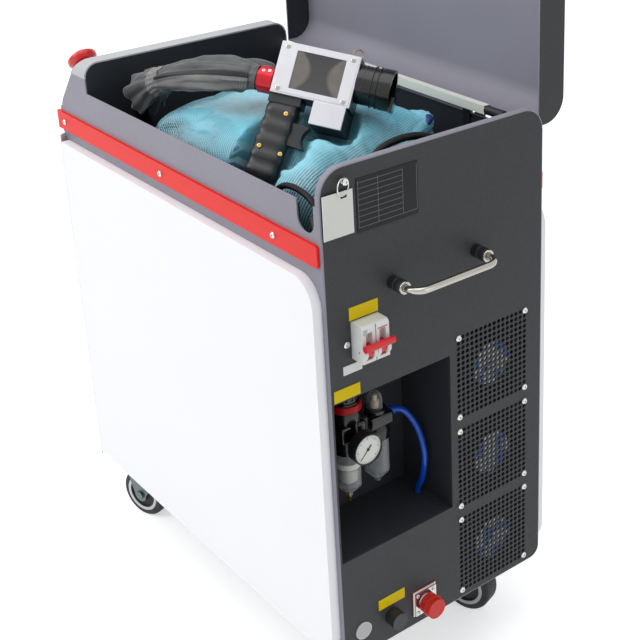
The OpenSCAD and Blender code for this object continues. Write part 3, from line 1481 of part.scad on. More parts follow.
board_x = -body_l + 52;
board_z = 240;
board_l = 200;
board_h = 115;
board_t = 1.6;
standoff_l = 10;
standoff_d = 6;
chip_l = 36;
chip_t = 14;
module control_board() {
    color([0.1, 0.4, 0.25]) placed() {
        for (x = [board_x + standoff_d, board_x + board_l - standoff_d],
            z = [board_z + standoff_d, board_z + board_h - standoff_d])
            rod_y([x, sheet, z], standoff_d, standoff_l);
        translate([board_x, sheet + standoff_l, board_z]) cube([board_l, board_t, board_h]);
        for (k = [0 : 2]) translate([board_x + chip_l / 2 + k * chip_l * 1.6, sheet + standoff_l + board_t,
            board_z + chip_l / 2]) cube([chip_l, chip_t, board_h - 2 * chip_l]);
    }
}

base_pan();
side_plate_near();
side_plate_far();
service_panel();
front_cover();
console_cover();
side_covers();
trim_bars();
panel_screws();
tray();
niche_box();
fan_frames();
fan_rotor(0);  // fan_rotor_1
fan_rotor(1);  // fan_rotor_2
fan_rotor(2);  // fan_rotor_3
breaker_body();
breaker_toggle();
din_rail();
pull_handle();
frl_bracket();
air_unit();
regulator_knob();
air_bowls();
gauge_case();
gauge_needle();
air_tube();
estop_base();
estop_button();
panel_sockets();
socket_caps();
blank_plates();
hang_tag();
caster_plates();
caster_fork(0);  // caster_fork_1
caster_fork(1);  // caster_fork_2
caster_fork(2);  // caster_fork_3
caster_fork(3);  // caster_fork_4
caster_wheel(0);  // caster_wheel_1
caster_wheel(1);  // caster_wheel_2
caster_wheel(2);  // caster_wheel_3
caster_wheel(3);  // caster_wheel_4
brake_pedal(0);  // brake_pedal_1
brake_pedal(1);  // brake_pedal_2
lid();
lid_leaves();
lid_hinges();
gun_housing();
gun_screen();
gun_handle();
gun_trigger();
lens_tube();
hose_clamp();
tray_lamp();
cable_sleeve();
umbilical_hose();
accessory_bag();
laser_source();
power_supply();
control_board();
cable_glands();
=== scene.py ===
"""A mobile laser cleaning machine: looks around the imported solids, in their frame, in metres."""
import math
import random

import bmesh
import bpy
import numpy as np
from mathutils import Matrix, Vector


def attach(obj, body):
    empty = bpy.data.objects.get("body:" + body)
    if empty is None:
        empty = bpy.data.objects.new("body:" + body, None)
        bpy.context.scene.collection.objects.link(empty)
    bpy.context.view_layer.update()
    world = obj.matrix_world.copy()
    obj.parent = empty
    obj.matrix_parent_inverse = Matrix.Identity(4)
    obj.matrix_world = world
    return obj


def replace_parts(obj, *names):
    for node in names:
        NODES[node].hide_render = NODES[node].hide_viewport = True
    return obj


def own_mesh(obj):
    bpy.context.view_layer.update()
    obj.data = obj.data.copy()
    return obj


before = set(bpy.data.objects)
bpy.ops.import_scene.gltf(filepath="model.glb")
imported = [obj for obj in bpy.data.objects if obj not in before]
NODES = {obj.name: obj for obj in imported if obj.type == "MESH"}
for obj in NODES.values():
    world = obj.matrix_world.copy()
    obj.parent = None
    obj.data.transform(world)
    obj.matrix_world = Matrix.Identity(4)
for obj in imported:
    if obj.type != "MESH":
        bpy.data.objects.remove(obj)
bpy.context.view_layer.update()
MM = 0.001
ORIGIN = Vector((-285.0, 172.0, -100.0))  # the frame's origin in cabinet millimetres
HINGE = Vector((0, 321, 585))  # a point of the lid's axis, which runs along X


# Frames and small mesh tools: shapes are written in millimetres in cabinet coordinates
def at(x, y, z):
    return (Vector((x, y, z)) - ORIGIN) * MM


def turn(axis, degrees):
    return Matrix.Rotation(math.radians(degrees), 4, axis)


# Places: the cabinet, the gun's face, its grip, a turn whose Z points along X, and the lid lying closed
CAB = Matrix.Translation(at(0, 0, 0)) @ Matrix.Scale(MM, 4)
GUN = CAB @ Matrix.Translation((-178.6, 126, 657.1)) @ turn("Z", 39.2) @ turn("Y", 10.6) @ turn("X", 58.4)
GRIP = GUN @ Matrix.Translation((-30, -40.5, -21)) @ turn("Z", -5)
FACE_X = Matrix(((0, 0, 1, 0), (1, 0, 0, 0), (0, 1, 0, 0), (0, 0, 0, 1)))
LID = CAB @ Matrix.Translation(HINGE) @ turn("X", -90) @ Matrix.Translation(-HINGE)


def srgb(*c):
    return tuple(v / 12.92 if v <= 0.04045 else ((v + 0.055) / 1.055) ** 2.4 for v in (k / 255 for k in c))


def add(name, data):
    ob = bpy.data.objects.new(name, data)
    bpy.context.scene.collection.objects.link(ob)
    return ob


def baked(ob):
    """A new mesh of the object with its modifiers applied."""
    return bpy.data.meshes.new_from_object(ob.evaluated_get(bpy.context.evaluated_depsgraph_get()))


def put(name, verts, faces, place, mat, slot, smooth=35, body="cabinet"):
    """A mesh piece in cabinet space, shaded smooth up to an angle."""
    me = bpy.data.meshes.new(name)
    me.from_pydata([place @ Vector(v) for v in verts], [], faces)
    me.validate()
    me.materials.append(mat)
    ob = add(name, me)
    finish_mesh(ob, smooth)
    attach(ob, body)
    return ob


def finish_mesh(ob, smooth):
    bm = bmesh.new()
    bm.from_mesh(ob.data)
    bmesh.ops.remove_doubles(bm, verts=bm.verts, dist=1e-7)
    bmesh.ops.recalc_face_normals(bm, faces=bm.faces)
    bm.to_mesh(ob.data)
    bm.free()
    ob.data.polygons.foreach_set("use_smooth", [True] * len(ob.data.polygons))
    ob.data.set_sharp_from_angle(angle=math.radians(smooth))


def bevel(ob, width, segments=2, angle=35):
    m = ob.modifiers.new("bevel", "BEVEL")
    m.width = width * MM
    m.segments = segments
    m.limit_method = "ANGLE"
    m.angle_limit = math.radians(angle)
    m.harden_normals = False
    return ob


def brick(low, high):
    """Corners and faces of a box, used as the core that a bevel rounds."""
    (a, b, c), (d, e, f) = low, high
    v = [(x, y, z) for x in (a, d) for y in (b, e) for z in (c, f)]
    return v, [(0, 1, 3, 2), (4, 6, 7, 5), (0, 4, 5, 1), (2, 3, 7, 6), (0, 2, 6, 4), (1, 5, 7, 3)]


def ring_faces(rows, n, ends=True, wrap=False):
    """Quads between rows of n points each, with end caps, or wrapped from the last row to the first."""
    f = []
    for i in range(rows if wrap else rows - 1):
        j = (i + 1) % rows
        f += [(i * n + k, i * n + (k + 1) % n, j * n + (k + 1) % n, j * n + k) for k in range(n)]
    if ends:
        f += [tuple(range(n - 1, -1, -1)), tuple(range((rows - 1) * n, rows * n))]
    return f


def circle(cx, cy, r, n=12):
    return [(cx + r * math.cos(2 * math.pi * k / n), cy + r * math.sin(2 * math.pi * k / n)) for k in range(n)]


def block(name, low, high, place, mat, slot, round_mm=0.6, segments=2, body="cabinet"):
    return bevel(put(name, *brick(low, high), place, mat, slot, body=body), round_mm, segments)


def prism(name, outline, z0, z1, place, mat, slot, round_mm, body):
    v = [(x, y, z) for z in (z0, z1) for x, y in outline]
    return bevel(put(name, v, ring_faces(2, len(outline)), place, mat, slot, body=body), round_mm)


def lathe(name, profile, place, mat, slot, n=48, smooth=35, closed=False, body="cabinet"):
    """Profile points (radius, height) turned about the local Z axis."""
    v = [(x, y, h) for r, h in profile for x, y in circle(0, 0, r, n)]
    return put(name, v, ring_faces(len(profile), n, not closed, closed), place, mat, slot, smooth, body)


def smooth_path(points, steps):
    p = [np.array(q, float) for q in points]
    out, m = [], len(points) - 1
    for i in range(m * steps + 1):
        k = min(i // steps, m - 1)
        f = i / steps - k
        a, b, c, d = p[max(k - 1, 0)], p[k], p[k + 1], p[min(k + 2, m)]
        out.append(0.5 * (2 * b + (c - a) * f + (2 * a - 5 * b + 4 * c - d) * f**2
                          + (3 * b - a - 3 * c + d) * f**3))
    return out


def frames(path):
    """Tangent and two normals at each path point, carried along without twist."""
    p = [np.array(q, float) for q in path]
    out, side = [], None
    for i in range(len(p)):
        t = p[min(i + 1, len(p) - 1)] - p[max(i - 1, 0)]
        t /= np.linalg.norm(t)
        side = np.cross(t, (0, 0, 1)) if side is None else side - t * np.dot(side, t)
        side = side / np.linalg.norm(side)
        out.append((p[i], t, side, np.cross(side, t)))
    return out


def tube(name, path, radius, mat, slot, n, shape=None):
    """A tube along a path; shape(i, a) scales the radius at ring i and angle a."""
    v = []
    for i, (p, _, s, u) in enumerate(frames(path)):
        r = radius[i] if hasattr(radius, "__len__") else radius
        for k in range(n):
            a = 2 * math.pi * k / n
            q = r * (shape(i, a) if shape else 1)
            v.append(tuple(p + q * (math.cos(a) * s + math.sin(a) * u)))
    return put(name, v, ring_faces(len(path), n), CAB, mat, slot, 60)


def round_rect(x0, x1, y0, y1, r, n=8):
    out = []
    for cx, cy, a0 in ((x1 - r, y1 - r, 0), (x0 + r, y1 - r, 90), (x0 + r, y0 + r, 180), (x1 - r, y0 + r, 270)):
        for k in range(n + 1):
            a = math.radians(a0 + 90 * k / n)
            out.append((cx + r * math.cos(a), cy + r * math.sin(a)))
    return out


def sheet_with_holes(name, loops, x0, x1, mat, slot):
    """A plate across X, from x0 to x1, with the first loop as outline and the others as holes."""
    cu = bpy.data.curves.new(name, "CURVE")
    cu.dimensions = "2D"
    cu.fill_mode = "BOTH"
    cu.extrude = (x1 - x0) / 2
    for pts in loops:
        sp = cu.splines.new("POLY")
        sp.points.add(len(pts) - 1)
        for q, (y, z) in zip(sp.points, pts):
            q.co = (y, z, 0, 1)
        sp.use_cyclic_u = True
    tmp = add(name + "_curve", cu)
    me = baked(tmp)
    v = [((x0 + x1) / 2 + q.co.z, q.co.x, q.co.y) for q in me.vertices]
    bpy.data.objects.remove(tmp)
    return put(name, v, [tuple(p.vertices) for p in me.polygons], CAB, mat, slot, 30)


# Materials: colour, roughness and bump each vary by noise at the scale of the real finish
class Shader:
    """Short calls for building one node material."""

    def __init__(self, name, rough, metal=0.0, **sockets):
        self.mat = bpy.data.materials.new(name)
        self.mat.use_nodes = True
        self.nodes, self.links = self.mat.node_tree.nodes, self.mat.node_tree.links
        self.bsdf = self.nodes["Principled BSDF"]
        self.bsdf.inputs["Roughness"].default_value = rough
        self.bsdf.inputs["Metallic"].default_value = metal
        for k, v in sockets.items():
            self.bsdf.inputs[k.replace("_", " ")].default_value = v
        self.coord = self.nodes.new("ShaderNodeTexCoord").outputs["Object"]

    def link(self, value, socket):
        if hasattr(value, "is_output"):
            self.links.new(value, socket)
        else:
            socket.default_value = value

    def noise(self, scale, detail=2.0, rough=0.5):
        n = self.nodes.new("ShaderNodeTexNoise")
        n.inputs["Scale"].default_value = scale
        n.inputs["Detail"].default_value = detail
        n.inputs["Roughness"].default_value = rough
        self.links.new(self.coord, n.inputs["Vector"])
        return n.outputs["Fac"]

    def wave(self, scale, direction):
        n = self.nodes.new("ShaderNodeTexWave")
        n.inputs["Scale"].default_value = scale
        n.bands_direction = direction
        self.links.new(self.coord, n.inputs["Vector"])
        return n.outputs["Fac"]

    def attribute(self, name):
        """The three numbers that a mesh stores at its points under this name."""
        n = self.nodes.new("ShaderNodeAttribute")
        n.attribute_name = name
        split = self.nodes.new("ShaderNodeSeparateXYZ")
        self.links.new(n.outputs["Vector"], split.inputs[0])
        return split.outputs

    def math(self, op, *values):
        n = self.nodes.new("ShaderNodeMath")
        n.operation = op
        for v, s in zip(values, n.inputs):
            self.link(v, s)
        return n.outputs[0]

    def remap(self, value, a, b, low=0.0, high=1.0):
        n = self.nodes.new("ShaderNodeMapRange")
        for v, s in zip((value, a, b, low, high), n.inputs):
            self.link(v, s)
        return n.outputs[0]

    def mix(self, factor, a, b):
        n = self.nodes.new("ShaderNodeMix")
        n.data_type = "RGBA"
        self.link(factor, n.inputs[0])
        for v, s in ((a, n.inputs[6]), (b, n.inputs[7])):
            self.link((*v, 1) if isinstance(v, tuple) and len(v) == 3 else v, s)
        return n.outputs[2]

    def colour(self, value):
        self.link(value, self.bsdf.inputs["Base Color"])

    def bump(self, height, strength, distance, before=None):
        n = self.nodes.new("ShaderNodeBump")
        n.inputs["Strength"].default_value = strength
        n.inputs["Distance"].default_value = distance
        self.links.new(height, n.inputs["Height"])
        if before is not None:
            self.links.new(before, n.inputs["Normal"])
        self.links.new(n.outputs[0], self.bsdf.inputs["Normal"])
        return n.outputs[0]

    def gloss(self, scale, detail, low, high):
        """Roughness that drifts between two values."""
        self.link(self.cloud(scale, detail, low, high), self.bsdf.inputs["Roughness"])

    def cloud(self, scale, detail, low=0.0, high=1.0):
        """Noise spread over the given range."""
        return self.remap(self.noise(scale, detail), 0.3, 0.7, low, high)


def shade(colour, k):
    return tuple(max(0.0, c * k) for c in colour)


def plain(name, colour, rough, metal=0.0, grain=900.0, lift=0.00006, tint=0.06, spread=0.06, **sockets):
    """Moulded, painted or plated surface: cloudy tint, uneven gloss and a fine skin."""
    s, colour = Shader(name, rough, metal, **sockets), srgb(*colour)
    s.colour(s.mix(s.cloud(14.0, 3.0), shade(colour, 1 - tint), shade(colour, 1 + tint)))
    s.gloss(60.0, 3.0, max(0.02, rough - spread), rough + spread)
    s.bump(s.noise(grain, 2.0), 0.5, lift)
    return s.mat


def powder(name, colour, rough, speck):
    """Powder coat: orange peel under a sprinkle of finer, paler texture."""
    s, colour = Shader(name, rough, 0.0, Specular_IOR_Level=0.28), srgb(*colour)
    base = s.mix(s.cloud(6.0, 3.0), shade(colour, 0.95), shade(colour, 1.05))
    s.colour(s.mix(s.remap(s.noise(1500.0, 1.0), 0.58, 0.72), base, shade(colour, 1 + speck)))
    s.gloss(300.0, 2.0, rough - 0.07, rough + 0.07)
    s.bump(s.noise(1100.0, 2.0), 0.35, 0.00008, s.bump(s.noise(220.0, 1.0), 0.25, 0.0001))
    return s.mat


# powder: colour, roughness, strength of the specks
# plain: colour, roughness, metal, then the skin's grain and height, and how far tint and gloss vary
PANEL = powder("panel_coat", (57, 58, 60), 0.55, 0.3)
LAVENDER = powder("lavender_coat", (143, 141, 152), 0.45, 0.08)
WHITE = plain("white_coat", (249, 249, 250), 0.36, 0.0, 500, 0.00002, 0.006, 0.04)
RIM_GREY = powder("rim_coat", (188, 188, 190), 0.4, 0.05)
TRAY = powder("tray_coat", (46, 49, 54), 0.5, 0.2)
RED = powder("trim_coat", (234, 28, 16), 0.38, 0.03)
# The niche's own dark grey coat, set a little darker than the panel's as painted shade in the recess; also painted
# shade on the inner face of the lid's left end wall
DARK_COAT_AND_SHADE = powder("dark_coat_and_painted_shade", (50, 51, 56), 0.5, 0.2)
CHROME = plain("polished_steel", (206, 206, 204), 0.2, 1.0, 1500, 0.00001, 0.03, 0.06)
BAR = plain("bar_steel", (178, 176, 167), 0.16, 1.0, 1500, 0.00001, 0.05, 0.05)
ZINC = plain("zinc_plate", (192, 194, 198), 0.32, 1.0, 700, 0.00003, 0.08, 0.1)
GRIP_SKIN = plain("grip_plastic", (40, 40, 42), 0.38, 0.0, 500, 0.00012, 0.1, 0.1)
CREAM = plain("cream_plastic", (214, 196, 160), 0.36, 0.0, 900, 0.00002, 0.06, 0.06)
RING_RED = plain("ring_plastic", (170, 14, 18), 0.36, 0.0, 900, 0.00002, 0.05, 0.06, Specular_IOR_Level=0.25)
CASTER = plain("caster_steel", (104, 116, 115), 0.34, 1.0, 700, 0.00003, 0.2, 0.1)
BLACK = plain("black_plastic", (30, 30, 32), 0.42, 0.0, 800, 0.00006, 0.1, 0.08)
SATIN = plain("satin_black", (36, 37, 39), 0.36, 0.0, 1200, 0.00003, 0.1, 0.08)
GLOSS = plain("gloss_black", (16, 16, 17), 0.2, 0.0, 900, 0.00001, 0.1, 0.05)
RUBBER = plain("hose_rubber", (22, 22, 24), 0.45, 0.0, 500, 0.0001, 0.15, 0.1, Specular_IOR_Level=0.2)
TYRE = plain("tyre_rubber", (34, 34, 35), 0.62, 0.0, 600, 0.00012, 0.15, 0.08)
SILVER = plain("gun_alloy", (212, 211, 216), 0.42, 0.4, 1600, 0.00003, 0.03, 0.06)
GUN_RED = plain("red_anodised", (205, 22, 40), 0.26, 0.35, 1300, 0.00002, 0.05, 0.06)
BRASS = plain("brass", (205, 170, 95), 0.22, 1.0, 900, 0.00002, 0.08, 0.06)
BRONZE = plain("bronze_wire", (150, 128, 90), 0.3, 1.0, 900, 0.00002, 0.12, 0.08)
BREAKER = plain("breaker_plastic", (226, 228, 224), 0.36, 0.0, 1200, 0.00003, 0.02, 0.05)
TOGGLE = plain("toggle_plastic", (214, 28, 36), 0.3, 0.0, 1200, 0.00002, 0.04, 0.05)
ESTOP = plain("button_plastic", (216, 34, 30), 0.28, 0.0, 1200, 0.00002, 0.04, 0.05, Coat_Weight=0.3)
CAP = plain("cap_rubber", (206, 38, 30), 0.5, 0.0, 700, 0.00006, 0.06, 0.06)
FAN = plain("fan_plastic", (30, 31, 34), 0.4, 0.0, 900, 0.00004, 0.1, 0.06)
BLUE = plain("tube_plastic", (12, 80, 200), 0.22, 0.0, 900, 0.00001, 0.08, 0.05, Transmission_Weight=0.15)
YELLOW = plain("label_foil", (222, 192, 0), 0.36, 0.0, 1500, 0.00001, 0.04, 0.06, Specular_IOR_Level=0.15)
NAME_BLACK = plain("nameplate_foil", (27, 30, 33), 0.4, 0.0, 1500, 0.00001, 0.06, 0.06, Specular_IOR_Level=0.2)
PALE = plain("pale_plate", (222, 222, 214), 0.4, 0.0, 1300, 0.00002, 0.03, 0.06)
LINE = plain("plate_border", (120, 122, 122), 0.4, 0.0, 1300, 0.00001, 0.05, 0.06)
LAMP = plain("lamp_diffuser", (238, 237, 226), 0.34, 0.0, 900, 0.00002, 0.03, 0.05, Subsurface_Weight=0.1)
BOARD = plain("board_mask", (30, 110, 60), 0.4, 0.0, 1200, 0.00003, 0.2, 0.1)
HUB = plain("wheel_hub", (214, 214, 222), 0.42, 0.0, 900, 0.00004, 0.04, 0.08)


def clear(name, colour, rough, alpha):
    """Clear plastic, dense where it turns away from the eye."""
    s, colour = Shader(name, rough, 0.0, IOR=1.45), srgb(*colour)
    edge = s.nodes.new("ShaderNodeLayerWeight")
    edge.inputs["Blend"].default_value = 0.35
    s.link(s.remap(edge.outputs["Facing"], 0.1, 1.0, alpha, 0.9), s.bsdf.inputs["Alpha"])
    s.colour(s.mix(s.cloud(40.0, 2.0), shade(colour, 0.92), shade(colour, 1.05)))
    s.gloss(30.0, 2.0, rough, rough + 0.06)
    s.bump(s.noise(120.0, 1.0), 0.1, 0.0001)
    return s.mat


BOWL = clear("clear_bowl", (190, 194, 196), 0.08, 0.14)


def screen_material():
    """Dark display glass with a painted reflection: a broad pale sheen at both sides, and paler towards its foot."""
    s = Shader("display_glass", 0.12, 0.0, Coat_Weight=0.6)
    u, v, _ = s.attribute("screen_uv")
    # Painted reflection: pale bands down both sides of the glass, bowed towards the middle, their strength varied by
    # noise
    bulge = s.math("MULTIPLY", s.math("POWER", s.math("ABSOLUTE", v), 2.0), 0.45)
    left = s.remap(s.math("ADD", u, bulge), -0.42, -0.26, 1.0, 0.0)
    right = s.remap(s.math("SUBTRACT", u, bulge), 0.34, 0.5, 0.0, 1.0)
    painted_reflection = s.math("MULTIPLY", s.math("MAXIMUM", left, right), s.remap(s.noise(90.0, 2.0), 0.2, 0.8, 0.5, 0.8))
    # Painted reflection: the dark glass turns paler towards its foot
    dark = s.mix(s.remap(v, -1.0, 1.0, 0.45, 0.0), srgb(40, 39, 41), srgb(76, 72, 70))
    s.colour(s.mix(painted_reflection, dark, srgb(122, 114, 106)))
    s.bump(s.noise(300.0, 1.0), 0.05, 0.00005)
    return s.mat


SCREEN = screen_material()


def cloth_material():
    """Dark grey woven nylon with a fine twill and faded folds."""
    s = Shader("sleeve_nylon", 0.62, 0.0, Sheen_Weight=0.35, Sheen_Roughness=0.4)
    threads = s.math("MULTIPLY", s.wave(420, "DIAGONAL"), s.wave(380, "X"))
    base = s.mix(s.cloud(22.0, 4.0), srgb(62, 63, 65), srgb(92, 93, 94))
    s.colour(s.mix(s.math("MULTIPLY", threads, 0.35), base, srgb(118, 118, 118)))
    s.bump(threads, 0.3, 0.00012, s.bump(s.noise(70.0, 4.0), 0.5, 0.0012))
    return s.mat


CLOTH = cloth_material()


def webbing(name, colour, pale, scale):
    """Woven strap: ribs across it, with painted sheen that makes their crests paler, more in some places than others.
    """
    s = Shader(name, 0.55)
    ribs = s.wave(scale, "X")
    # Painted sheen: rib crests paler, its strength varied by noise
    s.colour(s.mix(s.math("MULTIPLY", ribs, s.cloud(30.0, 3.0, 0.3, 1.0)), srgb(*colour), srgb(*pale)))
    s.bump(ribs, 0.4, 0.0002, s.bump(s.noise(60.0, 3.0), 0.4, 0.0008))
    return s.mat


STRAP = webbing("strap_webbing", (92, 91, 90), (146, 144, 140), 150)
BAND = webbing("band_webbing", (92, 92, 92), (176, 175, 172), 90)
ZIP = webbing("zip_teeth", (16, 16, 17), (60, 60, 60), 160)


def bag_material():
    """Sea-blue film under a fine pale net of threads both ways, with painted shade: darker down its sides and towards
    its ends, where the pale threads stand out more.
    """
    s = Shader("bag_film", 0.26, 0.0, IOR=1.4, Specular_IOR_Level=0.3, Coat_Weight=0.12, Coat_Roughness=0.07)
    along, across, painted_shade_amount = s.attribute("net_uv_and_painted_shade")
    lines = []
    for length, pitch, low, high in ((along, 0.0037, -0.2, 0.5), (across, 0.0029, 0.3, 0.8)):
        wave = s.math("SINE", s.math("MULTIPLY", length, 2 * math.pi / pitch))
        lines.append(s.remap(wave, low, high))
    net = s.math("MAXIMUM", lines[0], s.math("MULTIPLY", lines[1], 0.6))
    # Painted shade, broken up by noise: the film darkens towards a dark blue and the pale threads show more
    painted_shade = s.remap(s.math("ADD", s.remap(s.noise(16.0, 3.0), 0.35, 0.65, -0.2, 0.2), painted_shade_amount), 0.32, 0.95)
    film = s.mix(s.remap(s.noise(9.0, 3.0), 0.35, 0.65), srgb(104, 196, 220), srgb(148, 222, 238))
    film = s.mix(painted_shade, film, srgb(26, 74, 92))
    s.colour(s.mix(s.math("MULTIPLY", net, s.remap(painted_shade, 0, 1, 0.35, 0.75)), film, srgb(184, 230, 242)))
    s.gloss(45.0, 2.0, 0.16, 0.36)
    s.bump(net, 0.3, 0.00015, s.bump(s.noise(42.0, 4.0, 0.6), 0.5, 0.0022))
    return s.mat


BAG = bag_material()
TIP = plain("bag_hem", (24, 52, 132), 0.4, 0.0, 700, 0.00006, 0.12, 0.08)


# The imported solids: welded, edges eased, each with its finish
def dress(node, mats, width=0.4, pick=None, place=CAB):
    """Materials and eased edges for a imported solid; pick(centre, normal) chooses among several materials."""
    ob = NODES[node]
    mats = mats if isinstance(mats, list) else [mats]
    ob.data.materials.clear()
    for m in mats:
        ob.data.materials.append(m)
    back, polys = place.inverted(), ob.data.polygons
    index = [0] * len(polys)
    if pick:
        index = [pick(back @ p.center, (back.to_3x3() @ p.normal).normalized()) for p in polys]
    polys.foreach_set("material_index", index)
    polys.foreach_set("use_smooth", [True] * len(polys))
    if "custom_normal" in ob.data.attributes:
        ob.data.attributes.remove(ob.data.attributes["custom_normal"])
    ob.modifiers.new("weld", "WELD").merge_threshold = 1e-5
    if width:
        bevel(ob, width, 2, 38)
    ob.modifiers.new("split", "EDGE_SPLIT").split_angle = math.radians(50)
    ob.modifiers.new("normals", "WEIGHTED_NORMAL").keep_sharp = True


# Outer faces take the panel coat and inner faces lavender; the inner face of the left end wall takes the dark coat as
# painted shade
def lid_side(c, n):
    if n.dot(c - Vector((-266, 157, 600))) > 0 and c.z > 581:
        return 0
    return 2 if n.x > 0.7 and c.x < -500 else 1


def plate_side(c, n):
    return 1 if abs(n.y) > 0.5 and ((c.y < 157) == (n.y > 0)) else 0


dress("base_pan", PANEL)
dress("side_plate_near", [LAVENDER, TRAY], pick=plate_side)
dress("side_plate_far", [LAVENDER, TRAY], pick=plate_side)
dress("front_cover", WHITE, 0.8)
dress("console_cover", RIM_GREY, 0.8)
dress("side_covers", WHITE, 1.2)
dress("trim_bars", RED, 0.5)
dress("panel_screws", CHROME, 0.3)
dress("tray", TRAY)
dress("niche_box", DARK_COAT_AND_SHADE)
dress("fan_frames", FAN, 0.5)
for k in (1, 2, 3):
    dress(f"fan_rotor_{k}", FAN, 0.3)
dress("breaker_body", BREAKER, 0.5)
dress("breaker_toggle", TOGGLE, 0.4)
dress("din_rail", ZINC, 0)
dress("frl_bracket", ZINC)
dress("regulator_knob", GLOSS, 0.5)
dress("air_bowls", BOWL, 0.4)
dress("gauge_case", SATIN, 0.5)
dress("estop_base", SATIN, 0.4)
dress("estop_button", ESTOP, 1.0)
dress("panel_sockets", [CHROME, CAP, SATIN], 0.3, lambda c, n: 2 if c.y < 90 else 1 if c.x < 1.4 else 0)
dress("socket_caps", [CAP, SATIN], 0.6, lambda c, n: 1 if c.y < 90 else 0)
dress("caster_plates", CASTER, 0.3)
dress("lid", [PANEL, LAVENDER, DARK_COAT_AND_SHADE], 0.4, lid_side, LID)
dress("lid_leaves", LAVENDER, 0.2)
dress("lid_hinges", TRAY, 0.2)
dress("lens_tube", GLOSS, 0.5)
dress("hose_clamp", GUN_RED, 0.5)
dress("gun_trigger", SATIN, 0.8)
dress("tray_lamp", [LAMP, BLACK], 0.4, lambda c, n: 1 if c.x > -85.2 or c.y > 309.4 else 0)
dress("hang_tag", PALE, 0.15)
dress("laser_source", plain("heat_sink", (150, 152, 156), 0.4, 0.9), 0.4)
dress("power_supply", ZINC, 0.4)
dress("control_board", BOARD, 0.2)
dress("cable_glands", BLACK, 0.4)
for k in (1, 2, 3, 4):
    dress(f"caster_fork_{k}", CASTER, 0.4)
    dress(f"caster_wheel_{k}", TYRE, 0.6)
for k in (1, 2):
    dress(f"brake_pedal_{k}", BLACK, 0.3)
dress("blank_plates", [YELLOW, NAME_BLACK, PALE], 0.1,
      lambda c, n: 1 if c.z > 500 else 2 if 370 < c.z < 395 or c.z < 47 and c.y < 45 else 0)


def gun_side(c, n):
    if c.y > 30.8 and c.z > -26:
        return 2
    return 0 if c.z > -3.2 else 1


dress("gun_housing", [SILVER, SATIN, BRONZE], 0.7, gun_side, GUN)

# Service panel: a perforated sheet with a rolled rim
PANEL_W, PANEL_H, SHEET_T = 315, 620, 2.5
TOP_R, FOOT_R = 30, 15
ROLL, PROUD, RIM_DEEP = 1.6, 0.25, 7.6


def panel_loop(inset, n=8):
    out = []
    for y, z, r, sy, sz, a0 in ((PANEL_W, PANEL_H, TOP_R, -1, -1, 0), (0, PANEL_H, TOP_R, 1, -1, 90),
                                (0, 0, FOOT_R, 1, 1, 180), (PANEL_W, 0, FOOT_R, -1, 1, 270)):
        for k in range(n + 1):
            a = math.radians(a0 + 90 * k / n)
            out.append((y + sy * r + (r - inset) * math.cos(a), z + sz * r + (r - inset) * math.sin(a)))
    return out


# Centres on the panel, as (y, z)
FANS = [(234.5, 64.5), (234.5, 189.5), (234.5, 314.5)]
SOCKET, SIGNAL, PLUG = (120.5, 31), (71, 34), (28.4, 35)
BAR_Y, BAR_Z = (90, 210), 470
# Recess, switch, socket, signal lamp, plug, the bar's bolts, and the grilles
holes = [round_rect(4, 169, 141, 349, 0.6, 2), round_rect(31.2, 68.2, 396.5, 441.5, 0.4, 2),
         circle(*SOCKET, 13, 32), circle(*SIGNAL, 8, 28), circle(*PLUG, 9, 28)]
holes += [circle(y, BAR_Z, 3.2) for y in BAR_Y]
GRILLE_N, GRILLE_PITCH, GRILLE_R = 16, 7, 2.75
steps = [i - (GRILLE_N - 1) / 2 for i in range(GRILLE_N)]
for cy, cz in FANS:
    holes += [circle(cy + GRILLE_PITCH * i, cz + GRILLE_PITCH * j, GRILLE_R) for i in steps for j in steps
              if min(abs(i), abs(j)) < steps[-1]]
sheet = sheet_with_holes("panel_sheet", [panel_loop(ROLL)] + holes, -SHEET_T, 0, PANEL, "panel_grey")
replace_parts(sheet, "service_panel")
section = [(ROLL - (ROLL + PROUD) * math.sin(a), ROLL * math.cos(a) - ROLL)
           for a in map(math.radians, range(0, 91, 15))]
section += [(-PROUD, -RIM_DEEP), (2, -RIM_DEEP), (2, -SHEET_T)]
rim_v = [(x, y, z) for inset, x in section for y, z in panel_loop(inset)]
rim_f = ring_faces(len(section), len(panel_loop(0)), False)
put("panel_rim", rim_v, rim_f, CAB, LAVENDER, "cabinet_grey", 40)


def facing(y, z, x=0.0):
    """A place on the panel whose Z axis points out of it."""
    return CAB @ Matrix.Translation((x, y, z)) @ FACE_X


def screw(name, place, r, h, mat=CHROME, body="cabinet"):
    """A cap screw's head of radius r and height h."""
    lathe(name, [(r * 0.36, h * 0.3), (r * 0.42, h * 0.95), (r * 0.78, h), (r * 0.96, h * 0.72), (r, h * 0.3),
                 (r, -0.4)], place, mat, "steel_bright", 20, body=body)


foil = Shader("hub_foil", 0.4)
foil.colour(foil.mix(foil.remap(foil.noise(60.0, 1.0), 0.5, 0.56), srgb(236, 238, 240), srgb(40, 120, 225)))
foil.bump(foil.noise(400.0, 1.0), 0.1, 0.00002)
for k, centre in enumerate(FANS):
    lathe(f"fan_hub_{k + 1}", [(0.5, 0.4), (27, 0.4), (28, 0.1), (28, -1.5)], facing(*centre, -2.85), foil.mat,
          "fan_black")

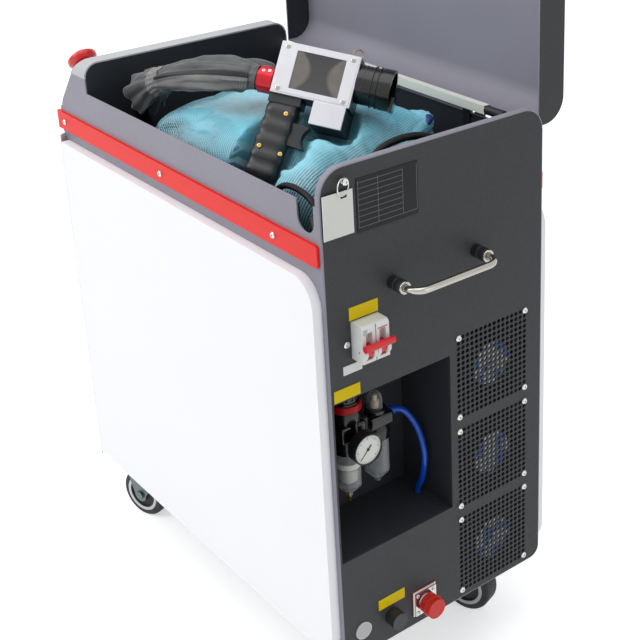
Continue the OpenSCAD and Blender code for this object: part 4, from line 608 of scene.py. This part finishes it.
# Switch, sockets and the bare table on the type plate
block("breaker_seam", (19.6, 49.45, 397.3), (20.15, 49.95, 440.6), CAB, BLACK, "breaker_grey", 0.02, 1)
block("breaker_window", (20.0, 33.2, 431), (20.2, 38.5, 437.6), CAB, RIM_GREY, "breaker_grey", 0.05, 1)
block("breaker_line", (20.0, 52.5, 433.5), (20.15, 65.5, 434.7), CAB, TOGGLE, "toggle_red", 0.03, 1)
for k, (dy, dz) in enumerate(((-12, -12), (-12, 12), (12, -12), (12, 12))):
    screw(f"socket_screw_{k + 1}", facing(SOCKET[0] + dy, SOCKET[1] + dz, 4.5), 2.4, 1.4)
lathe("cap_rim", [(12.6, 15), (13.7, 15.4), (14.0, 16.6), (13.7, 17.8), (12.6, 18.2)], facing(*SOCKET), CAP,
      "cap_red", closed=True)
lathe("hole_plug", [(0.5, 2.2), (9.6, 2.2), (10.6, 1.9), (11, 1.2), (11, 0)], facing(*PLUG), RIM_GREY,
      "plate_yellow", 40)
TABLE_Z, ROW, LINE_W = 545.5, 6.3, 0.4


def table_line(name, y0, y1, z0, z1):
    block(name, (0.75, y0, z0), (0.95, y1, z1), CAB, LINE, "plate_yellow", 0.05, 1)


for k in range(9):
    z = TABLE_Z + ROW * k
    table_line(f"plate_row_{k + 1}", 48, 107 if k else 126, z, z + LINE_W)
for k, y in enumerate((48, 74, 107, 126)):
    table_line(f"plate_column_{k + 1}", y, y + LINE_W, TABLE_Z, 598)

# Gauge: dial, ticks over three quarters of a turn, bezel and needle
GAUGE = facing(62, 259, -20.9)
TICKS, FIRST_TICK, TICK_STEP, TICK_R = 31, 225, 9, 16
lathe("gauge_dial", [(0.4, 0.1), (18.2, 0.1), (18.2, -0.8)], GAUGE, PALE, "tag_pale", 56)
tick_v = []
for k in range(TICKS):
    a = math.radians(FIRST_TICK - TICK_STEP * k)
    c, s = math.cos(a), math.sin(a)
    long, w = (3.4, 0.32) if k % 5 == 0 else (1.8, 0.16)
    for r, side in ((TICK_R, -1), (TICK_R, 1), (TICK_R - long, 1), (TICK_R - long, -1)):
        tick_v.append((r * c - side * w * s, r * s + side * w * c, 0.22))
tick_f = [tuple(range(i, i + 4)) for i in range(0, len(tick_v), 4)]
put("gauge_ticks", tick_v, tick_f, GAUGE, BLACK, "black_plastic")
lathe("gauge_bezel", [(17.9, 0.2), (18.0, 1.5), (18.7, 2.0), (19.6, 1.5), (19.9, -4), (18.1, -4)], GAUGE, GLOSS,
      "black_plastic", 56, closed=True)
hand = [(0.9, -6.5), (0.6, -1.5), (1.9, -1.3), (1.9, 1.3), (0.5, 1.5), (0.15, 14.5)]
hand += [(-x, y) for x, y in reversed(hand)]
needle = prism("needle_hand", hand, 0.45, 0.95, GAUGE @ turn("Z", 135), BLACK, "black_plastic", 0.1, "needle")
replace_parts(needle, "gauge_needle")
lathe("needle_cap", [(0.3, 1.5), (1.2, 1.45), (1.6, 1.0), (1.6, 0.2)], GAUGE, BLACK, "black_plastic", 24,
      body="needle")

# Hang tag's ring and the screw that it hangs from
TAG = CAB @ Matrix.Translation((3.8, 27.6, 598.3)) @ turn("Z", 18) @ FACE_X
lathe("tag_ring", circle(9.5, 0, 0.75, 10), TAG, CHROME, "steel_bright", 56, 60, True, "tag")
screw("tag_screw", facing(27.6, 605.3, 4.2), 3.4, 1.4)

# Air unit: filter regulator (AIR) and lubricator (AIR_2) with chamfered ports and round collars
AIR, AIR_2 = (CAB @ Matrix.Translation((-62, y, 0)) for y in (62, 104))
OUTLET = CAB @ Matrix.Translation((-62, 0, 265)) @ turn("X", -90)
filter_body = lathe("filter_body", [(0.5, 245.4), (17.2, 245.4), (18.2, 246.6), (18.2, 254), (17.4, 256), (17.4, 280),
                                    (18.2, 282), (18.2, 290), (16.8, 294.9), (0.5, 294.9)],
                    AIR, GLOSS, "black_plastic", 40)
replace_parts(filter_body, "air_unit")
lathe("lock_ring", [(16.4, 295.6), (18.6, 296), (19, 297.4), (19, 303.2), (18.4, 304.8), (16.4, 305.4)], AIR,
      RING_RED, "cap_red", closed=True, body="knob")
lathe("filter_core", [(0.5, 217), (8.4, 217), (8.6, 205), (7.2, 203), (7.2, 196), (0.5, 195)], AIR, PALE,
      "tag_pale", 32)
lathe("filter_sleeve", [(10.9, 214), (11, 206), (11, 200), (9.5, 198)], AIR, PALE, "tag_pale", 32)
lathe("filter_band", [(15.15, 226), (15.15, 219)], AIR, PALE, "tag_pale", 40)
lathe("drain_valve", [(2.2, 181), (3.4, 180), (3.4, 175), (2.0, 174), (1.8, 168), (1.0, 167.4)], AIR, BRASS,
      "steel_bright", 24)
lathe("oiler_body", [(0.5, 245.4), (15.8, 245.4), (17, 246.6), (17, 256), (15.6, 258), (15.6, 272), (14.2, 274.8),
                     (0.5, 274.8)], AIR_2, GLOSS, "black_plastic", 40)
lathe("oiler_collar", [(0.5, 274.9), (13.2, 274.9), (14.2, 275.6), (14.2, 278.4), (13.4, 279.4), (10.4, 279.6),
                       (0.5, 279.6)], AIR_2, GLOSS, "black_plastic", 40)
lathe("oil_dome", [(9.4, 279.6), (9.2, 291), (8.2, 296), (5.6, 299.4), (1, 300.6)], AIR_2, BOWL, "bowl_clear", 36)
lathe("oil_drip", [(5.2, 279.7), (5.2, 288), (4.2, 289), (3.2, 289.6), (3.2, 296.4), (0.6, 297.2)], AIR_2, CREAM,
      "steel_bright", 28)
block("filter_port", (-79, 43.5, 257), (-45, 80.5, 280), CAB, GLOSS, "black_plastic", 4, 3)
block("air_link", (-72, 79, 258), (-52, 88, 277), CAB, SATIN, "black_plastic", 2, 2)
block("oiler_port", (-78, 86.5, 257.5), (-46, 121.5, 275.5), CAB, GLOSS, "black_plastic", 4, 3)
block("filter_label", (-44.2, 56, 246.5), (-43.4, 67, 257.5), CAB, PALE, "tag_pale", 0.3, 1)
for k, (place, z) in enumerate(((AIR, 238), (AIR_2, 240))):
    lathe(f"bowl_ring_{k + 1}", [(14, z + 7), (16.4, z + 7), (16.4, z + 1), (15.4, z), (14, z)], place, GLOSS,
          "black_plastic", 40, closed=True)
lathe("air_fitting", [(0.5, 121), (7, 121), (7, 127), (6, 128.4), (6, 130.5), (0.5, 130.5)], OUTLET, BLUE,
      "black_plastic", 32)
lathe("tube_collar", [(5.6, 124.5), (5.9, 125.3), (5.4, 127.7), (4.3, 128.1)], OUTLET, BLUE, "tube_blue", 32)
route = [(-62, 127, 265), (-61.5, 138, 263.5), (-59, 147, 257), (-53, 154, 244), (-46, 157, 230), (-40.5, 158, 214),
         (-38, 158, 200), (-40, 158, 182), (-46, 159, 162), (-54, 159, 144), (-54, 159, 120)]
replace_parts(tube("blue_tube", smooth_path(route, 8), 4, BLUE, "tube_blue", 20), "air_tube")

# Pull bar: a slim bent rod in two dark standoffs with bright end rings
ROD_R, BEND_R, BEND_X = 4.2, 16, 24
left, right = BAR_Y
bend = [(BEND_X + BEND_R * math.sin(a), BEND_R - BEND_R * math.cos(a)) for a in map(math.radians, range(0, 91, 10))]
bar = [(18, left, BAR_Z)] + [(x, left + y, BAR_Z) for x, y in bend]
bar += [(BEND_X + BEND_R, y, BAR_Z) for y in (120, 150, 180)]
bar += [(x, right - y, BAR_Z) for x, y in reversed(bend)] + [(18, right, BAR_Z)]
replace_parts(tube("pull_rod", bar, ROD_R, BAR, "steel_bright", 28), "pull_handle")
for k, y in enumerate(BAR_Y):
    foot = facing(y, BAR_Z)
    lathe(f"standoff_{k + 1}", [(0.5, 0), (7.6, 0), (8.0, 0.6), (8.0, 9), (7.6, 9.5), (8.0, 10), (8.0, 20), (7.4, 21),
                                (0.5, 21)], foot, SATIN, "steel_bright", 40)
    lathe(f"standoff_ring_{k + 1}", [(4.4, 20.6), (4.6, 22.2), (7.2, 22.2), (7.7, 21.4), (7.7, 20.4)], foot, BAR,
          "steel_bright", 40, closed=True)
    screw(f"standoff_screw_{k + 1}", foot @ turn("Z", -40) @ Matrix.Translation((7.7, 0, 15)) @ turn("Y", 90),
          1.5, 0.7)

# Folded lip under the lid's hinged edge, between and beside the hinges
lip_v, lip_f = [], []
for x0, x1 in ((-468, -442), (-388, -125), (-71, -24)):
    v, f = brick((x0, 316.6, 578.5), (x1, 317.8, 591.3))
    lip_f += [tuple(len(lip_v) + i for i in q) for q in f]
    lip_v += v
put("lid_lip", lip_v, lip_f, CAB, LAVENDER, "cabinet_grey", body="lid")

# Wheels: a pale ring on both sides of each tyre; at rest the forks stand turned by YAW
PIVOTS, YAW = [(-530, 45), (-530, 270), (-52, 45), (-52, 270)], 18
AXLE = Matrix.Translation((-28, 0, -62.5)) @ turn("X", 90)
for k, (x, y) in enumerate(PIVOTS):
    place = CAB @ Matrix.Translation((x, y, 0)) @ turn("Z", YAW) @ AXLE
    for letter, side in (("a", 1), ("b", -1)):
        ring = [(22.6, 10.2 * side), (23.4, 14.0 * side), (27.8, 14.2 * side), (28.6, 12 * side)]
        lathe(f"wheel_ring_{k + 1}_{letter}", ring, place, HUB, "gun_silver", closed=True, body=f"wheel_{k + 1}")

# Gun: face plates, display, screws and rings
WINDOW = round_rect(-26.7, 31.5, -22.6, 22.6, 1.0, 4)


def face_ring(name, outer, z0, z1, round_mm):
    """A plate of the gun's face, round the display's window."""
    n = len(outer)
    v = [(x, y, z) for z in (z0, z1) for loop in (outer, WINDOW) for x, y in loop]
    f = []
    for k in range(n):
        j = (k + 1) % n
        f += [(k, n + k, n + j, j), (2 * n + k, 2 * n + j, 3 * n + j, 3 * n + k), (k, j, 2 * n + j, 2 * n + k),
              (n + k, 3 * n + k, 3 * n + j, n + j)]
    bevel(put(name, v, f, GUN, SILVER, "gun_silver", body="gun"), round_mm)


face_ring("face_plate", round_rect(-47.3, 47.3, -30.8, 30.8, 1.0, 4), -3.6, -0.5, 0.4)
face_ring("face_step", round_rect(-45.6, 45.4, -29.0, 29.0, 1.0, 4), -0.9, 0.5, 0.5)
block("motor_plate", (5.8, -57.7, -3.2), (44.2, -30.9, 0.2), GUN, SILVER, "gun_silver", 0.5, body="gun")
glass = round_rect(-26.5, 31.3, -22.4, 22.4, 1.0, 4)
display = prism("gun_display", glass, -1.6, -0.4, GUN, SCREEN, "gun_display", 0.2, "gun")
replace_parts(display, "gun_screen")
uv = display.data.attributes.new("screen_uv", "FLOAT_VECTOR", "POINT")
back = GUN.inverted()
# From -1 to 1 across the window, both ways
for i, v in enumerate(display.data.vertices):
    q = back @ v.co
    uv.data[i].vector = ((q.x - 2.4) / 29, q.y / 22.5, 0)
for i, (sx, sy) in enumerate(((-1, 1), (1, 1), (1, -1), (-1, -1))):
    screw(f"face_screw_{i + 1}", GUN @ Matrix.Translation((39 * sx, 25 * sy, 0.4)), 3.0, 1.0, BAR, "gun")
grip_z = (back @ GRIP @ Vector((0, 0, 15))).z
for i, (x, y) in enumerate(((-22.9, -51.6), (-43.9, -94.1), (-17.7, -98.7))):
    screw(f"grip_screw_{i + 1}", GUN @ Matrix.Translation((x, y, grip_z)), 2.6, 0.8, BRASS, "gun")
LENS = GUN @ Matrix.Translation((47, 4, -22.5)) @ turn("Y", 90)
for i, (r, h) in enumerate(((23.3, 7), (24.75, 17.5), (24.75, 24))):
    lathe(f"lens_ring_{i + 1}", [(r - 1, h), (r, h + 0.3), (r, h + 1.1), (r - 1, h + 1.4)], LENS, SATIN,
          "lens_black", 56, closed=True, body="gun")
CLAMP = GUN @ Matrix.Translation((-47, -15, -20))
for i, y in enumerate((-6, 6)):
    place = CLAMP @ Matrix.Translation((-11 + y * 0.6, y * 0.1 + 7.8, 13.2)) @ turn("X", -30)
    screw(f"clamp_screw_{i + 1}", place, 2.2, 1.0, body="gun")


# Handle: a rounded grip with soft finger ridges and a well for the trigger
def build_grip():
    n, rows, length, ridge = 40, 72, 90, 18
    v = []
    for i in range(rows):
        y = 1.5 - (length + 1.5) * i / (rows - 1)
        wave = 0.5 + 0.5 * math.cos(2 * math.pi * (y + ridge / 2) / ridge)
        end = min(1.0, 0.88 + 0.12 * math.sqrt(max(0, (length + y) / 5)))
        w, t = (17.9 + 1.3 * wave) * end, (13.2 + 1.7 * wave) * end
        for k in range(n):
            a = 2 * math.pi * (k + 0.5) / n
            c, q = math.cos(a), math.sin(a)
            v.append((w * math.copysign(abs(c) ** 0.42, c), y, t * math.copysign(abs(q) ** 0.5, q)))
    grip = put("grip", v, ring_faces(rows, n), GRIP, GRIP_SKIN, "black_plastic", 50, "gun")
    corners, sides = brick((5, -44.3, -7.4), (40, -16.7, 7.4))
    me = bpy.data.meshes.new("well")
    me.from_pydata([GRIP @ Vector(q) for q in corners], [], sides)
    well = add("well", me)
    cut = grip.modifiers.new("well", "BOOLEAN")
    cut.operation, cut.solver, cut.object = "DIFFERENCE", "EXACT", well
    done = baked(grip)
    grip.modifiers.clear()
    grip.data = done
    bpy.data.objects.remove(well)
    finish_mesh(grip, 50)
    return grip


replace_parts(build_grip(), "gun_handle")

# Cloth sleeve on the gun's cable: folds run along it, with a flared, gathered end
SLEEVE = [(-240.5, 87.3, 646.9), (-246.6, 82.3, 648.4), (-256, 75, 650), (-278, 65, 649), (-310, 58, 643.5),
          (-355, 56, 632), (-395, 57, 619.5), (-424, 59, 609), (-452, 62, 598), (-482, 64, 583)]
SLEEVE_R = [14, 16, 21, 23, 21.5, 19.5, 18, 13.5, 24, 31]  # at the points above
STEPS, SPANS, NECK = 14, len(SLEEVE) - 1, 7  # rings from point to point, and the point where it is tied
path = smooth_path(SLEEVE, STEPS)
radii = np.interp(np.linspace(0, SPANS, len(path)), range(SPANS + 1), SLEEVE_R)
sleeve_rings = frames(path)
rnd = random.Random(7)
folds = [(n, rnd.uniform(0, 6.3), rnd.uniform(-3.4, 3.4), rnd.uniform(0.02, 0.06)) for n in (3, 4, 5, 6, 7, 9, 11)]


def sleeve_point(i, a, lift=0.0):
    """A point of the sleeve at ring i and angle a: sharp folds along it, pleats at the neck and a ruffled rim."""
    f = i / (len(path) - 1)
    neck = math.exp(-((f * SPANS - NECK) / 0.55) ** 2)
    rim = max(0.0, (f * SPANS - NECK) / 2)
    q = 1.0
    for n, ph, tw, amp in folds:
        fold = abs(math.sin(0.5 * (n * a + ph + tw * 2.2 * f * math.pi)))
        q += amp * (0.7 - 2 * fold) * (1 - neck) * min(1, 5 * f)
    q += 0.012 * math.sin(60 * f + 3 * math.sin(2 * a)) * (1 - neck)
    ruffle = 0.07 * math.sin(5 * a + 1.5 * math.sin(2 * a)) + 0.05 * math.sin(12 * a + 1) + 0.015 * math.sin(23 * a)
    q += 0.05 * neck * math.sin(17 * a) + rim * ruffle
    p, t, side, u = sleeve_rings[i]
    p = p + t * rim ** 2 * (4 * math.sin(2 * a + 0.8) + 1.5 * math.sin(7 * a))
    return p + (radii[i] * q + lift) * (math.cos(a) * side + math.sin(a) * u) - np.array((0, 0, 5.0 * rim))


def skin(name, rings, angles, lift, mat, closed, thick):
    """A cloth strip or tube laid on the sleeve's surface."""
    v = [tuple(sleeve_point(i, a, lift)) for i in rings for a in angles]
    n, f = len(angles), []
    for r in range(len(rings) - 1):
        for k in range(n if closed else n - 1):
            j = (k + 1) % n
            f.append((r * n + k, r * n + j, (r + 1) * n + j, (r + 1) * n + k))
    ob = put(name, v, f, CAB, mat, "sleeve_cloth", 60)
    m = ob.modifiers.new("cloth", "SOLIDIFY")
    m.thickness, m.offset = thick * MM, 0
    return ob


def degrees(*bounds):
    return [math.radians(a) for a in range(*bounds)]


full = [2 * math.pi * k / 96 for k in range(96)]
sleeve = skin("sleeve", range(len(path)), full, 0.0, CLOTH, True, 0.9)
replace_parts(sleeve, "cable_sleeve")
tied = NECK * STEPS
strip = range(STEPS, tied - 6)
flap = skin("zip_flap", strip, degrees(170, 236, 6), 1.5, STRAP, False, 1.0)
zip_line = skin("zip_teeth", strip, [*degrees(155, 165, 3), math.radians(168)], 1.9, ZIP, False, 1.0)
band = skin("neck_band", range(tied - 9, tied + 7), full, 1.6, BAND, True, 1.2)


def spread(path, at_share, radius):
    """A radius for each point of a path, from radii given at shares of its length."""
    return np.interp(np.linspace(0, 1, len(path)), at_share, radius)


lobe_path = smooth_path([(-292, 76, 640), (-280, 96, 642), (-268, 112, 640), (-262, 124, 632)], 8)
lobe = tube("sleeve_fold", lobe_path, spread(lobe_path, (0, 0.4, 0.8, 1), (15, 18, 16, 9)), CLOTH, "sleeve_cloth", 48,
            lambda i, a: 1 + 0.05 * math.sin(5 * a + i / 5) + 0.04 * math.sin(9 * a))
soft = [sleeve, flap, zip_line, band, lobe]

# Hose: nearly three loose turns on the tray's floor, then up to the sleeve; a lead and a loop beside the panel
hose_pts = [(-525, 82, 447), (-505, 82, 447), (-470, 82, 443.25), (-435, 82, 439.5), (-400, 82, 439.5)]
# Turns, half length of the straights, outer radius, pitch, and the straights' share of half a turn
TURNS, HALF, R_OUT, PITCH, SHARE = 3, 112, 108, 19.5, 0.25
COIL_X, COIL_Y, COIL_Z = -270, 190, 439.5


def coil_at(t):
    half = math.floor(2 * t)
    v, s = 2 * t - half, (1 if half % 2 == 0 else -1)
    r = R_OUT - PITCH * (t if t < TURNS / 2 else TURNS - t)
    z = COIL_Z + PITCH * min(1, max(0, 2 * (t - TURNS / 2) + 0.5))
    if v < SHARE:
        return (COIL_X + s * HALF * (2 * v / SHARE - 1), COIL_Y - s * r, z)
    a = math.radians(-90 + 180 * (v - SHARE) / (1 - SHARE))
    return (COIL_X + s * (HALF + r * math.cos(a)), COIL_Y + s * r * math.sin(a), z)


hose_pts += [coil_at(i / 40) for i in range(2, 111)]
hose_pts += [(-489, 152, 462), (-494, 128, 470), (-500, 108, 483), (-506, 90, 500), (-510, 76, 522), (-508, 68, 544),
             (-500, 65, 562), (-487, 64, 577), (-470, 63, 589), (-450, 61, 598)]
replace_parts(tube("hose", smooth_path(hose_pts, 3), 9, RUBBER, "hose_black", 20), "umbilical_hose")
lead_pts = [(-27, 15, 558), (-27, 15, 563), (-31, 15, 571), (-42, 15, 577), (-57, 15, 580), (-72, 15, 580),
            (-86, 15, 577), (-98, 15, 570), (-108, 14, 560), (-114, 13, 545), (-116, 12, 520), (-116, 12, 490),
            (-116, 12, 450), (-116, 12, 430)]
loop_pts = [(-38, 88, 430), (-39, 88, 470), (-40, 89, 520), (-41, 91, 565), (-42, 96, 590), (-42, 105, 602),
            (-42, 118, 608), (-42, 133, 610.5), (-42, 149, 610.5), (-42, 165, 608), (-42, 183, 601), (-41, 206, 585),
            (-40, 235, 560), (-38, 262, 525), (-36, 280, 480), (-34, 282, 430)]
tube("lead", smooth_path(lead_pts, 8), 3.5, RUBBER, "hose_black", 14)
loop_path = smooth_path(loop_pts, 16)
ribbed = [4.5 - 0.35 * (1 + math.sin(i * 2.1)) for i in range(len(loop_path))]
tube("loop", loop_path, ribbed, RUBBER, "hose_black", 14)

# Bag: a soft net pouch, blown up a little against the tray and pressed in under the gun
OUTLINE = [(-414, 95), (-420, 130), (-414, 168), (-392, 204), (-348, 230), (-290, 246), (-230, 258), (-182, 268),
           (-156, 272), (-140, 258), (-122, 215), (-106, 165), (-92, 115), (-80, 72), (-74, 48), (-84, 32), (-115, 25),
           (-160, 21), (-220, 19), (-290, 19), (-350, 20), (-392, 30), (-408, 58)]
CENTRE, MID, FOOT = np.array((-235.0, 142.0)), 540.0, 466.8
# Rows over and under the seam: share of the way from the centre to the outline, share of the full height
UP = [(0.0, 1), (0.3, 1), (0.6, 0.99), (0.8, 0.93), (0.9, 0.8), (0.96, 0.6), (0.99, 0.32), (1, 0)]
DOWN = [(0.99, 0.35), (0.95, 0.62), (0.87, 0.84), (0.75, 1), (0.5, 1), (0.25, 1), (0.0, 1)]


def bag_top(x, y):
    return 594 - 0.0003 * (x + 215) ** 2 - 0.0004 * (y - 130) ** 2


# What the gun presses into the pouch: (frame, x low, x high, y low, y high, back plane)
PRESSES = [(GRIP, -20, 20, -180, 60, -15.8), (GRIP, 0, 37.6, -62, 60, -8), (GUN, 5.4, 44.6, -58, 60, -60.8),
           (GUN, -70, 94, -31, 31, -45.8)]


def pressed(co):
    """A point of the pouch, moved back behind the pieces of the gun that lie on it."""
    for place, x0, x1, y0, y1, back_z in PRESSES:
        q = place.inverted() @ co
        d = math.hypot(max(x0 - q.x, 0, q.x - x1), max(y0 - q.y, 0, q.y - y1))
        limit = back_z - 0.8 + 2.0 * d
        if d < 14 and q.z > limit:
            q.z = limit
            co = place @ q
    return co


def between(rows, shares):
    """Each row, and the points at these shares of the way to the next one."""
    return [tuple(p + (q - p) * f for p, q in zip(a, b)) for a, b in zip(rows, rows[1:]) for f in shares]


def build_bag():
    loop = smooth_path([(x, y, 0) for x, y in OUTLINE + OUTLINE[:1]], 5)[:-1]
    table = between(UP, (0, 0.34, 0.67)) + [(k, -h) for k, h in between(UP[-1:] + DOWN, (0, 0.5))]
    table = [row for row in table if row[0] > 0.001]
    v, n = [], len(loop)
    for k, h in table:
        for p in loop:
            x, y = CENTRE + k * (np.array(p[:2]) - CENTRE)
            v.append((x, y, MID + (bag_top(x, y) - MID) * h if h > 0 else MID + (MID - FOOT) * h))
    v += [(*CENTRE, bag_top(*CENTRE)), (*CENTRE, FOOT)]
    f = ring_faces(len(table), n, False)
    f += [(i, (i + 1) % n, len(v) - 2) for i in range(n)]
    b = (len(table) - 1) * n
    f += [(b + (i + 1) % n, b + i, len(v) - 1) for i in range(n)]
    return put("bag", v, f, CAB, BAG, "bag_blue", 180)


def swell(ob, voxel, pressure, cap, grow):
    """Blow a closed cloth up a little, let its spare cloth wrinkle, and keep each point near its start."""
    remesh = ob.modifiers.new("remesh", "REMESH")
    remesh.mode, remesh.voxel_size = "VOXEL", voxel * MM
    ob.data = baked(ob)
    ob.modifiers.clear()
    ob.data.materials.clear()
    ob.data.materials.append(BAG)
    scn, last_frame = bpy.context.scene, 20
    cloth = ob.modifiers.new("cloth", "CLOTH")
    st = cloth.settings
    st.quality, st.mass, st.bending_stiffness, st.air_damping = 6, 0.2, 0.15, 2.0
    st.tension_stiffness = st.compression_stiffness = 12
    st.use_pressure, st.uniform_pressure_force, st.shrink_min = True, pressure, -grow
    st.effector_weights.gravity = 0
    cloth.collision_settings.use_collision = False
    cloth.point_cache.frame_start, cloth.point_cache.frame_end = 1, 24
    start = np.array([v.co for v in ob.data.vertices])
    for frame_no in range(1, last_frame + 1):
        scn.frame_set(frame_no)
    done = ob.evaluated_get(bpy.context.evaluated_depsgraph_get()).to_mesh()
    end = np.array([v.co for v in done.vertices])
    ob.modifiers.clear()
    scn.frame_set(1)
    move = end - start
    far = np.linalg.norm(move, axis=1, keepdims=True)
    ob.data.vertices.foreach_set("co", (start + move * np.minimum(1, cap * MM / np.maximum(far, 1e-9))).ravel())


BAG_HALF_L, BAG_HALF_W = 170, 125
NET_COS, NET_SIN = 0.94, 0.34  # the net lies turned by 20 degrees


def net_coordinates(ob):
    """Two lengths along the cloth, unrolled over its sides, and an amount of painted shade that grows with how far
    each point lies below the top and towards the ends.
    """
    uv = ob.data.attributes.new("net_uv_and_painted_shade", "FLOAT_VECTOR", "POINT")
    for i, v in enumerate(ob.data.vertices):
        x, y, z = (v.co / MM) + ORIGIN
        drop = max(0.0, bag_top(x, y) - z)
        dx, dy = (x - CENTRE[0]) / BAG_HALF_L, (y - CENTRE[1]) / BAG_HALF_W
        d = max(1.0, math.hypot(dx, dy))
        u, w = (x + drop * dx / d) * MM, (y + drop * dy / d) * MM
        # Painted shade: more towards the pouch's ends and further below its top
        end = math.hypot(max(0, -310 - x) / 90, max(0, 70 - y) / 60, max(0, x + 150) / 90)
        painted_shade_amount = min(1.0, 0.2 + 0.45 * end + drop / 66)
        uv.data[i].vector = (NET_COS * u + NET_SIN * w, NET_COS * w - NET_SIN * u, painted_shade_amount)
    ob.data.polygons.foreach_set("use_smooth", [True] * len(ob.data.polygons))


bag = build_bag()
swell(bag, voxel=5, pressure=3.0, cap=9, grow=0.06)
for v in bag.data.vertices:
    co = pressed(v.co)
    co.z = max(co.z, at(0, 0, FOOT).z)
    v.co = co
net_coordinates(bag)
bag.modifiers.new("round", "SUBSURF").render_levels = 1
cuff_path = smooth_path([(-200, 262, 566), (-184, 268, 571), (-162, 271, 574), (-145, 262, 575), (-133, 241, 572),
                         (-123, 216, 566), (-115, 190, 558)], 8)
cuff = tube("bag_cuff", cuff_path, spread(cuff_path, (0, 0.2, 0.5, 0.8, 1), (5, 8, 9.5, 8, 5)), BAG, "bag_blue", 28,
            lambda i, a: (0.75 + 0.3 * abs(math.sin(a))) * (1 + 0.06 * math.sin(7 * a + i)))
net_coordinates(cuff)
tip_path = smooth_path([(-150, 263, 577), (-142, 262, 581), (-136, 257, 581), (-132, 250, 578)], 5)
tip_r = [2, 3.4, 4.4, 4.8, 5, 5, 5, 5, 5, 4.8, 4.6, 4.2, 3.8, 3.2, 2.6, 1.6]
tip = tube("bag_hem", tip_path, tip_r, TIP, "bag_blue", 16)
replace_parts(bag, "accessory_bag")
soft += [bag, cuff, tip]

# Camera, light and floor
scene = bpy.context.scene
cam = bpy.data.cameras.new("camera")
cam.lens, cam.sensor_width = 73.61, 36
cam.shift_x, cam.shift_y = -0.1548, -0.2197
cam_ob = add("camera", cam)
right, up, ahead = (Vector(v) for v in ((0.63372, 0.77318, -0.02447), (-0.26965, 0.25044, 0.92982),
                                        (-0.72505, 0.58265, -0.36719)))
turned = Matrix((right, up, -ahead)).transposed().to_4x4()
cam_ob.matrix_world = Matrix.Translation((1.3, -0.85736, 1.19199)) @ turned
scene.camera = cam_ob
scene.view_settings.view_transform = "Standard"


def area(name, where, target, size, power):
    li = bpy.data.lights.new(name, "AREA")
    li.shape, li.size, li.size_y = "RECTANGLE", size[0], size[1]
    li.energy = power
    ob = add(name, li)
    ob.location = where
    ob.rotation_euler = (Vector(target) - Vector(where)).to_track_quat("-Z", "Y").to_euler()


area("key", (-0.6, -2.2, 2.4), (0, 0, 0.4), (1.8, 1.8), 33)
area("top", (0.1, -0.2, 2.9), (0, 0, 0.5), (2.2, 2.2), 22)
area("side", (2.4, 0.6, 1.3), (0.2, 0, 0.4), (1.2, 1.6), 5.2)
world = bpy.data.worlds.new("world")
scene.world = world
world.use_nodes = True
wn, wl = world.node_tree.nodes, world.node_tree.links
wn.clear()
out = wn.new("ShaderNodeOutputWorld")


def seen(nodes, links):
    """1 for rays from the camera and for those that gloss and glass send on, 0 for the light on the object."""
    path_node, value = nodes.new("ShaderNodeLightPath"), None
    for name in ("Is Camera Ray", "Is Glossy Ray", "Is Transmission Ray"):
        if value is None:
            value = path_node.outputs[name]
            continue
        top = nodes.new("ShaderNodeMath")
        top.operation = "MAXIMUM"
        links.new(value, top.inputs[0])
        links.new(path_node.outputs[name], top.inputs[1])
        value = top.outputs[0]
    return value


pick, soft_sky, white = (wn.new(f"ShaderNode{t}") for t in ("MixShader", "Background", "Background"))
soft_sky.inputs[0].default_value, soft_sky.inputs[1].default_value = (0.93, 0.96, 1, 1), 0.55
white.inputs[0].default_value, white.inputs[1].default_value = (1, 1, 1, 1), 1.0
wl.new(seen(wn, wl), pick.inputs[0])
wl.new(soft_sky.outputs[0], pick.inputs[1])
wl.new(white.outputs[0], pick.inputs[2])
wl.new(pick.outputs[0], out.inputs[0])

ground = bpy.data.materials.new("pale_floor")
ground.use_nodes = True
gn, gl = ground.node_tree.nodes, ground.node_tree.links
gb = gn["Principled BSDF"]
gb.inputs["Base Color"].default_value, gb.inputs["Roughness"].default_value = (0.9, 0.9, 0.9, 1), 0.9
gb.inputs["Specular IOR Level"].default_value = 0.0
gb.inputs["Emission Color"].default_value = (1, 1, 1, 1)
lift = gn.new("ShaderNodeMath")
lift.operation = "MULTIPLY"
gl.new(seen(gn, gl), lift.inputs[0])
lift.inputs[1].default_value = 0.55
gl.new(lift.outputs[0], gb.inputs["Emission Strength"])
me = bpy.data.meshes.new("floor")
me.from_pydata([(x, y, -0.0005) for x, y in ((-9, -9), (9, -9), (9, 9), (-9, 9))], [], [(0, 1, 2, 3)])
me.materials.append(ground)
floor = add("floor", me)

# Each soft piece gets a mesh of its own
for ob in soft:
    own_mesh(ob)
